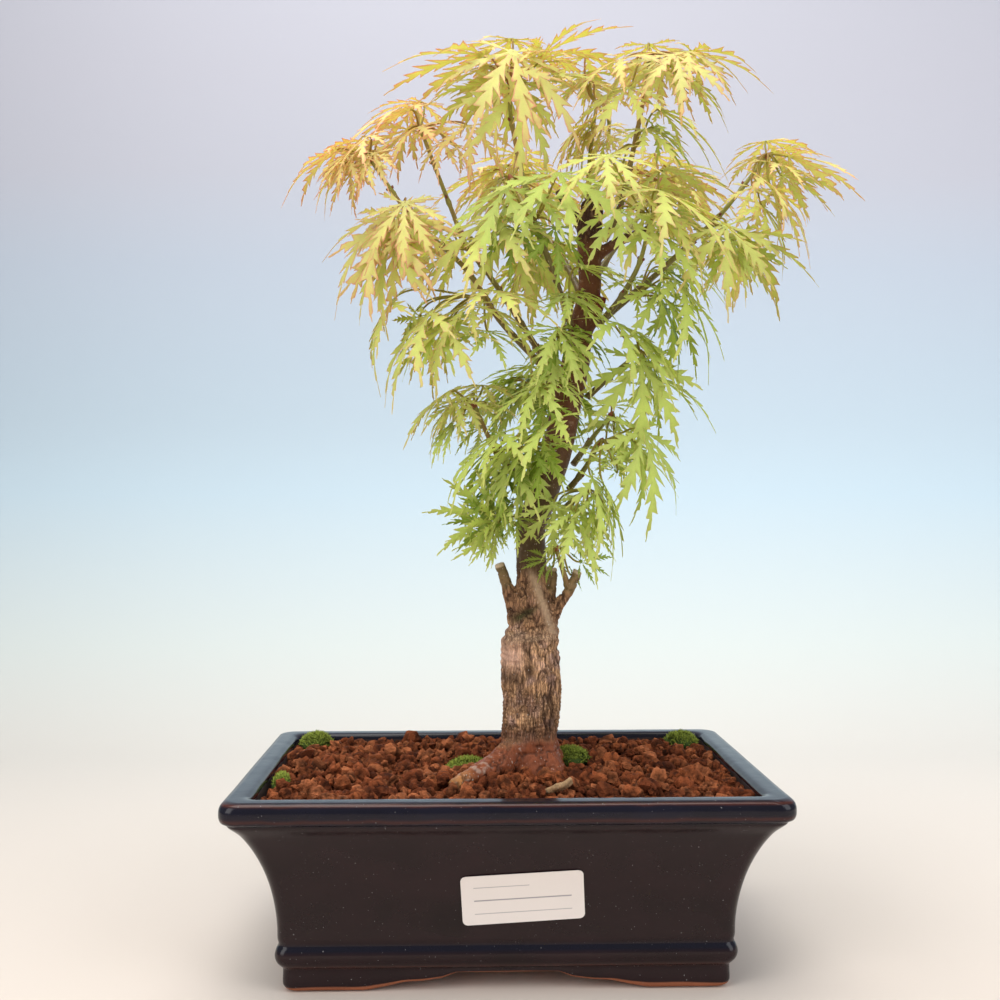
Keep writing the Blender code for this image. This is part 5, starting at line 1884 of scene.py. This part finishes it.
@dataclass
class Foliage:
    """The leaves: seven lobes, each cut into toothed fingers that point forwards.

    A lobe is a herringbone sheet. A point at share s of its length and side t (-1 to 1) lies at
    s times the length plus |t| times the half width times the slant, and t times the half width
    across. The half width is an envelope, long-tipped, times a saw wave that makes the fingers.
    """

    lobes: tuple[tuple[float, float], ...] = (
        (-116, 0.46), (-72, 0.74), (-35, 0.93), (0, 1.0), (35, 0.93), (72, 0.74), (116, 0.46),
    )
    half_width: float = 0.140
    slant: float = 1.45
    teeth: float = 5.8
    rows_per_tooth: int = 6
    sinus: float = 0.14
    finger_rise: float = 0.86
    finger_fall: float = 0.14
    finger_power: float = 1.6
    least_half: float = 0.14
    droop: float = 0.24
    thickness: float = 0.15
    palm: float = 3.4
    palm_sides: int = 56
    usual_length: float = 44.0
    petiole_radius: float = 0.55
    bead: float = 2.2
    seed: int = 11
    usual: tuple[int, ...] = (-1, 1, 0)
    fills: tuple[tuple[str, tuple[int, ...]], ...] = (
        ("right_low", (1,)), ("right_mid", (1,)), ("right_rear", (1,)), ("basal_sprout", (1,)),
        ("right_front", (-1, 1)), ("crown_left", (-1, 0)), ("crown_right", (-1, 0)), ("left_upper", (-1, 1)),
        ("left_low", (-1, 1, 0, 1, 0)), ("left_fan", (-1, 1, 0, -1, 1)), ("front_mid", (-1, 1, 0, -1)),
        ("back_low", (-1, 1, 0, 0)),
    )
    rib: Colour = (0.86, 0.86, 0.30)
    stalk: Colour = (0.46, 0.42, 0.075)
    stalk_blush: Colour = (0.48, 0.17, 0.09)
    sides: tuple[float, ...] = (-1.0, -0.70, 0.0, 0.70, 1.0, 0.55, 0.0, -0.55)
    lifts: tuple[float, ...] = (0.0, 1.0, 0.45, 1.0, 0.0, -0.9, -1.8, -0.9)

    def frame(self, leaf: Leaf) -> tuple[Array, Array, Array]:
        """The directions of a blade.

        Args:
            leaf: The leaf.

        Returns:
            Its heading, its side and its face.
        """
        heading, pitch, roll = np.radians([leaf.heading, leaf.pitch, leaf.roll])
        flat = np.array([math.cos(heading), math.sin(heading), 0.0])
        ahead = flat * math.cos(pitch) + np.array([0.0, 0.0, math.sin(pitch)])
        side = np.array([-math.sin(heading), math.cos(heading), 0.0])
        side = side * math.cos(roll) + np.cross(ahead, side) * math.sin(roll)
        return ahead, side, np.cross(ahead, side)

    def half_widths(self, share: Array, length: float, phase: float, teeth: int) -> Array:
        """The lobe's half width along its length: the envelope times the saw wave.

        Args:
            share: Shares of the lobe's length.
            length: Its length.
            phase: Where in a tooth the wave starts.
            teeth: How many teeth it has.

        Returns:
            The half width at each share.
        """
        envelope = 0.42 + 0.58 * ramp(share, 0.04, 0.42)
        envelope = envelope * (1.0 - 0.94 * ramp(share, 0.40, 1.06) ** 0.85) * self.half_width * length
        saw = (share * teeth + phase) % 1.0
        rise, fall = (saw / self.finger_rise) ** self.finger_power, (1.0 - saw) / self.finger_fall
        finger = np.where(saw < self.finger_rise, rise, fall)
        notch = 0.16 * np.where(saw < 0.5, saw / 0.5, 0.0)
        finger = np.minimum(self.sinus + (1.0 - self.sinus) * finger + notch, 1.05)
        narrow = ramp(share, 0.02, 0.14)
        return np.maximum(envelope * (finger * narrow + 0.45 * (1 - narrow)), self.least_half)

    def lobe(self, blade: Blade, turn: float, share: float, rng: np.random.Generator) -> None:
        """One lobe of a leaf.

        Args:
            blade: The leaf.
            turn: The lobe's turn from the heading, in degrees.
            share: Its share of the leaf's length.
            rng: Source of the small differences between lobes.
        """
        jitter = rng.uniform(-1.0, 1.0, 7)
        angle = math.radians(turn + 4.0 * jitter[0])
        length = blade.length * share * (1.0 + 0.05 * jitter[1])
        teeth = max(3, round(self.teeth * (0.3 + 0.7 * share) + 0.5 * jitter[2]))
        s = np.linspace(0.0, 1.0, teeth * self.rows_per_tooth + 1)
        t = np.array(self.sides)
        widths = self.half_widths(s, length, 0.5 + 0.5 * jitter[3], teeth)
        other = self.half_widths(s, length, 0.75 + 0.5 * jitter[3], teeth)
        half = np.where(t[None] < 0, widths[:, None], other[:, None])
        reach = (length - self.palm * 0.5) * s[:, None] * 0.93 + self.palm * 0.5
        along = reach + np.abs(t) * half * self.slant * (1.0 - 0.5 * s[:, None])
        across = t * half + 0.10 * jitter[4] * along**2 / length
        height = -(self.droop + 0.13 * (1 + jitter[5])) * along**2 / blade.length
        curl = 0.10 * blade.length * ramp(along / length, 0.55, 1.1) * (0.6 + 0.4 * jitter[6]) * share
        height = height - curl
        height = height + 0.26 * np.abs(t) * half - 0.10 * np.abs(t) ** 2 * half * (1 + jitter[0])
        height = height + across * 0.8 * jitter[2] * s[:, None]
        fade = np.minimum(1.0, half / 0.5)
        height = height + np.array(self.lifts) * self.thickness * fade * (1.1 - 0.6 * s[:, None])
        forwards = along * math.cos(angle) - across * math.sin(angle)
        points = self.laid_out(blade, forwards, along * math.sin(angle) + across * math.cos(angle), height)
        tint = self.tint(points, s[:, None] + 0 * half, np.abs(t) + 0 * half, blade.tone)
        blade.body.grid(points, tint)

    def laid_out(self, blade: Blade, forwards: Array, sideways: Array, height: Array) -> Array:
        """Points given along a blade's heading, side and face, in the pot's frame."""
        flat = blade.middle + forwards[..., None] * blade.ahead + sideways[..., None] * blade.side
        return flat + height[..., None] * blade.face

    def tint(self, points: Array, s: Array, t: Array, tone: Tone) -> Array:
        """Blade colours: a paler rib, and the margin's colour out at the fingers and the tip.

        Args:
            points: The sheet's grid.
            s: Each point's share of the lobe's length.
            t: Its distance from the rib, 1 at the margin.
            tone: The leaf's colours.

        Returns:
            Colour and bareness for each grid point.
        """
        blade, margin = tone.value
        cloud = layered_noise(points, 16.0, 80)
        colour = np.asarray(blade) * (1.0 + 0.16 * cloud[..., None])
        flush = ramp(t, 0.66, 1.0) * 0.95 + ramp(s, 0.6, 1.0) * 0.45
        flush = np.clip(flush * (1.0 + 0.5 * cloud), 0.0, 1.0)
        colour = mix(colour, margin, flush)
        vein = (1.0 - ramp(t, 0.0, 0.4)) * (1.0 - 0.5 * s)
        return tinted(mix(colour, self.rib, 0.4 * vein))

    def palm_disc(self, blade: Blade) -> None:
        """The small scalloped disc in which the lobes meet, a thin closed lens.

        Args:
            blade: The leaf.
        """
        turn = np.arange(self.palm_sides) * (math.tau / self.palm_sides)
        lobe_turns = np.radians(np.array(self.lobes)[:, 0])
        away = np.abs((turn[:, None] - lobe_turns + math.pi) % math.tau - math.pi).min(axis=1)
        edge = self.palm * blade.length / self.usual_length * (1.15 - 0.55 * ramp(away, 0.0, 0.30))
        radius = np.array([0.3, 0.7, 1.0, 0.7, 0.3])[:, None] * edge
        lift = np.array([-1.0, -0.8, 0.0, 0.8, 1.0])[:, None] * self.thickness * 1.3
        drop = self.droop * radius**2 / blade.length
        points = self.laid_out(blade, radius * np.cos(turn), radius * np.sin(turn), lift - drop + 0.15)
        blade.body.grid(points, self.tint(points, 0 * radius, 0.3 + 0 * radius, blade.tone))

    def petiole(self, blade: Blade, start: Array) -> None:
        """The stalk: a cubic Bezier that rises from the shoot and runs into the blade's middle.

        Args:
            blade: The leaf.
            start: Where the stalk leaves the shoot.
        """
        middle = blade.middle
        pull = np.linalg.norm(middle - start) / 3
        flat = unit(np.array([middle[0] - start[0], middle[1] - start[1], 2.0]))
        knots = (start, start + flat * pull, middle - blade.ahead * pull, middle)
        t = np.linspace(0.0, 1.0, 22)[:, None]
        weights = ((1 - t) ** 3, 3 * (1 - t) ** 2 * t, 3 * (1 - t) * t**2, t**3)
        path = sum(w * k for w, k in zip(weights, knots))
        radii = self.petiole_radius * (1.0 + 0.7 * bell(t[:, 0], 0.0, 0.05) - 0.25 * t[:, 0])
        rings = tube(path, radii, 8)
        red = 0.75 if blade.tone in (Tone.CORAL, Tone.GOLD) else 0.25
        flush = red * ramp(layered_noise(rings, 18.0, 90), -0.5, 0.6)
        blade.body.grid(rings, tinted(mix(self.stalk, self.stalk_blush, flush)))

    def joint(self, body: Body, centre: Array, ahead: Array) -> None:
        """The swollen, reddish knot at a shoot's tip from which the petioles spread.

        Args:
            body: The piece that it belongs to.
            centre: Its middle.
            ahead: The shoot's direction.
        """
        share = np.linspace(0.0, 1.0, 9)
        path = centre + ahead * ((share - 0.62) * 2 * self.bead)[:, None]
        radii = 0.95 + 0.45 * np.sin(math.pi * share) - 0.75 * share**4
        body.grid(tube(path, radii, 12), tinted(self.stalk_blush))

    def companions(self, spray: Spray, centre: Array, sides: tuple[int, ...],
                   rng: np.random.Generator) -> tuple[Leaf, ...]:
        """Smaller leaves that fill a spray between and under its main ones.

        Args:
            spray: The main leaves.
            centre: Where the spray grows from, counted from the trunk's foot.
            sides: For each main leaf: -1 and 1 are to its right and left, 0 is under it.
            rng: Source of their small differences.

        Returns:
            The extra leaves.
        """
        extra = []
        for leaf in spray.leaves:
            for side in sides:
                turn = side * rng.uniform(28.0, 62.0) + rng.uniform(-15.0, 15.0)
                reach = rng.uniform(0.55, 0.9)
                place = centre + (np.array([leaf.x, leaf.y, leaf.z]) - centre) * reach
                swing = math.radians(turn * 0.5)
                offset = (place - centre)[:2]
                place[0] = centre[0] + offset[0] * math.cos(swing) - offset[1] * math.sin(swing)
                place[1] = centre[1] + offset[0] * math.sin(swing) + offset[1] * math.cos(swing)
                place[2] -= rng.uniform(1.0, 9.0) * (1.0 if side else 2.0)
                extra.append(Leaf(
                    *place, leaf.heading + turn, leaf.pitch - rng.uniform(0.0, 22.0),
                    leaf.roll + rng.uniform(-14.0, 14.0), leaf.length * rng.uniform(0.62, 0.88),
                ))
        return tuple(extra)

    def inner_tone(self, tone: Tone, under: bool) -> Tone:
        """One step greener for the leaf under each main one; the others keep the spray's tone."""
        tones = list(Tone)
        return tones[min(tones.index(tone) + int(under), len(tones) - 1)]

    def build(self, shoot: Shoot, growth: Growth, trunk: Trunk, finish: Material) -> None:
        """Makes each spray of a shoot as one piece.

        Args:
            shoot: The shoot with its sprays.
            growth: Gives the shoot's own shape.
            trunk: The trunk, from whose foot the places count.
            finish: Leaf tissue.
        """
        path = growth.course(shoot, trunk)
        radii, walked = growth.radii(path)
        for number, spray in enumerate(shoot.sprays):
            rng = np.random.default_rng([self.seed, len(shoot.name), int(path[0, 0] * 10) % 997, number])
            body = Body(f"leaves_{shoot.name}_{number + 1}")
            k = min(int(np.searchsorted(walked, spray.place * walked[-1])), len(path) - 1)
            ahead = unit(path[k] - path[k - 1])
            at_tip = spray.place >= 1.0
            centre = path[k] + ahead * (self.bead if at_tip else 0.0)
            if at_tip:
                self.joint(body, centre, ahead)
            sides = dict(self.fills).get(shoot.name, self.usual)
            extra = self.companions(spray, centre - trunk.place((0, 0, 0)), sides, rng)
            for order, leaf in enumerate(spray.leaves + extra):
                under = order >= len(spray.leaves) and not sides[(order - len(spray.leaves)) % len(sides)]
                tone = self.inner_tone(spray.tone, under)
                middle = trunk.place((leaf.x, leaf.y, leaf.z))
                away = middle - centre
                away = unit(away - ahead * away.dot(ahead)) * (0.0 if at_tip else radii[k] * 0.7)
                blade = Blade(body, leaf.length, middle, *self.frame(leaf), tone)
                self.petiole(blade, centre + away)
                self.palm_disc(blade)
                for turn, share in self.lobes:
                    self.lobe(blade, turn, share, rng)
            settle(body.finish([finish], 75.0), "leaf", body.name)


# --- stage


@dataclass
class Stage:
    """A paper sweep that fades from cream to lilac, soft lamps and the camera."""

    camera_at: tuple[float, float, float] = (-17.0, -544.0, 194.0)
    camera_turn: tuple[float, float, float] = (90.85, 0.0, -1.63)
    lens: float = 42.4
    aim_height: float = 0.18
    sky: Colour = (0.92, 0.95, 1.0)
    sky_strength: float = 0.40
    curve_start: float = 420.0
    curve: float = 300.0
    gradient: tuple[tuple[float, Colour], ...] = (
        (0.0, (0.71, 0.61, 0.53)), (0.14, (0.73, 0.68, 0.62)), (0.30, (0.66, 0.71, 0.69)),
        (0.52, (0.54, 0.67, 0.76)), (0.80, (0.48, 0.56, 0.66)), (1.0, (0.50, 0.51, 0.58)),
    )

    def sweep(self) -> None:
        """A floor that curves up behind into a wall, coloured by height, with painted light that darkens its
        left side and lightens its right.
        """
        floor = np.linspace(-1200.0, self.curve_start, 20)
        turn = np.linspace(0.0, math.pi / 2, 24)[1:]
        wall = np.linspace(360.0, 1500.0, 12)
        bend = self.curve_start + self.curve * np.sin(turn)
        y = np.concatenate([floor, bend, 0 * wall + self.curve_start + self.curve])
        z = np.concatenate([0 * floor, self.curve - self.curve * np.cos(turn), wall])
        x = np.linspace(-1900.0, 1900.0, 30)
        points = np.dstack(np.broadcast_arrays(x[None, :], y[:, None], z[:, None] - 0.3))
        stops, colours = zip(*self.gradient)
        share = np.clip((y * 0.16 + z + 60.0) / 760.0, 0.0, 1.0)
        colour = np.column_stack([np.interp(share, stops, np.array(colours)[:, k]) for k in range(3)])
        # Painted light: the sweep gets darker to the left and lighter to the right.
        across = 1.0 + 0.11 * np.clip(x / 500.0, -1.4, 1.4)[None, :, None]
        tint = tinted(colour[:, None] * across, 1.0)
        body = Body("sweep")
        body.grid(points, tint, wrap=False, ends=False)
        finish = Finish("paper_sweep", roughness=(0.9, 0.9), mottle=0.0, grain=0.0, bump=0.0, specular=0.1)
        body.finish([finish.build()])

    def lamp(
        self, name: str, at: Sequence[float], size: tuple[float, float], watts: float, tone: Colour
    ) -> None:
        """A rectangular lamp that faces the tree's middle.

        Args:
            name: Its name.
            at: Where it hangs, in millimetres from the pot's middle on the floor.
            size: Its two sides, in metres.
            watts: Its power.
            tone: Its colour.
        """
        data = bpy.data.lights.new(name, "AREA")
        data.shape, data.energy, data.color = "RECTANGLE", watts, tone
        data.size, data.size_y = size
        made = bpy.data.objects.new(name, data)
        place = np.array(at) * MM + (SITE.centre_x * MM, SITE.centre_y * MM, 0.0)
        made.location = place
        aim = np.array([SITE.centre_x * MM, SITE.centre_y * MM, self.aim_height]) - place
        made.rotation_euler = (
            math.atan2(math.hypot(aim[0], aim[1]), -aim[2]), 0.0, math.atan2(aim[0], -aim[1]) + math.pi
        )
        bpy.context.scene.collection.objects.link(made)

    def build(self) -> None:
        """Sets the sweep, the lamps, the surroundings' light and the camera."""
        self.sweep()
        self.lamp("top_softbox", (-120, -80, 1250), (1.1, 0.9), 14.0, (1.0, 0.98, 0.95))
        self.lamp("front_left_softbox", (-820, -760, 620), (0.7, 0.9), 6.4, (1.0, 0.98, 0.96))
        self.lamp("front_right_softbox", (860, -680, 560), (0.7, 0.9), 5.4, (0.97, 0.98, 1.0))
        world = bpy.data.worlds.new("surroundings")
        world.use_nodes = True
        background = world.node_tree.nodes["Background"]
        background.inputs["Color"].default_value = (*self.sky, 1.0)
        background.inputs["Strength"].default_value = self.sky_strength
        bpy.context.scene.world = world
        data = bpy.data.cameras.new("camera")
        data.lens = self.lens
        camera = bpy.data.objects.new("camera", data)
        camera.location = [(a + b) * MM for a, b in zip(self.camera_at, (SITE.centre_x, SITE.centre_y, 0.0))]
        camera.rotation_euler = [math.radians(angle) for angle in self.camera_turn]
        bpy.context.scene.collection.objects.link(camera)
        bpy.context.scene.camera = camera
        bpy.context.scene.view_settings.view_transform = "Standard"


def coat_packed_nodes(finishes: Finishes) -> None:
    """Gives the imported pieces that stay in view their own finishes.

    Args:
        finishes: Every finish.
    """
    coats = (("drain_screen", finishes.screen.build()), ("screen_clip", finishes.wire.build()))
    for name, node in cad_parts.items():
        for start, material in coats:
            if name.startswith(start):
                node.data.materials.clear()
                node.data.materials.append(material)


def main() -> None:
    """Builds the stage, the pot with its soil, the wood and the leaves, in that order."""
    logging.basicConfig(level=logging.INFO, format="%(name)s: %(message)s")
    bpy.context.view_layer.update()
    finishes = Finishes()
    coat_packed_nodes(finishes)
    Stage().build()
    pot = GlazedPot()
    soil = SoilBed(pot)
    moss, trunk = Moss(soil), Trunk(soil)
    pot.build(finishes.glaze.build())
    Label().build(pot, finishes.paper.build())
    bark = finishes.bark.build()
    clear = np.vstack([trunk.clearings(), moss.clearings()])
    soil.build(clear, finishes.granule.build())
    moss.build(finishes.moss.build())
    BarkChip().build(soil, bark)
    trunk.build(bark)
    growth, foliage = Growth(), Foliage()
    stem, leaf = finishes.stem.build(), finishes.leaf.build()
    for shoot in SHOOTS:
        growth.build(shoot, trunk, stem)
        foliage.build(shoot, growth, trunk, leaf)


if __name__ == "__main__":
    main()
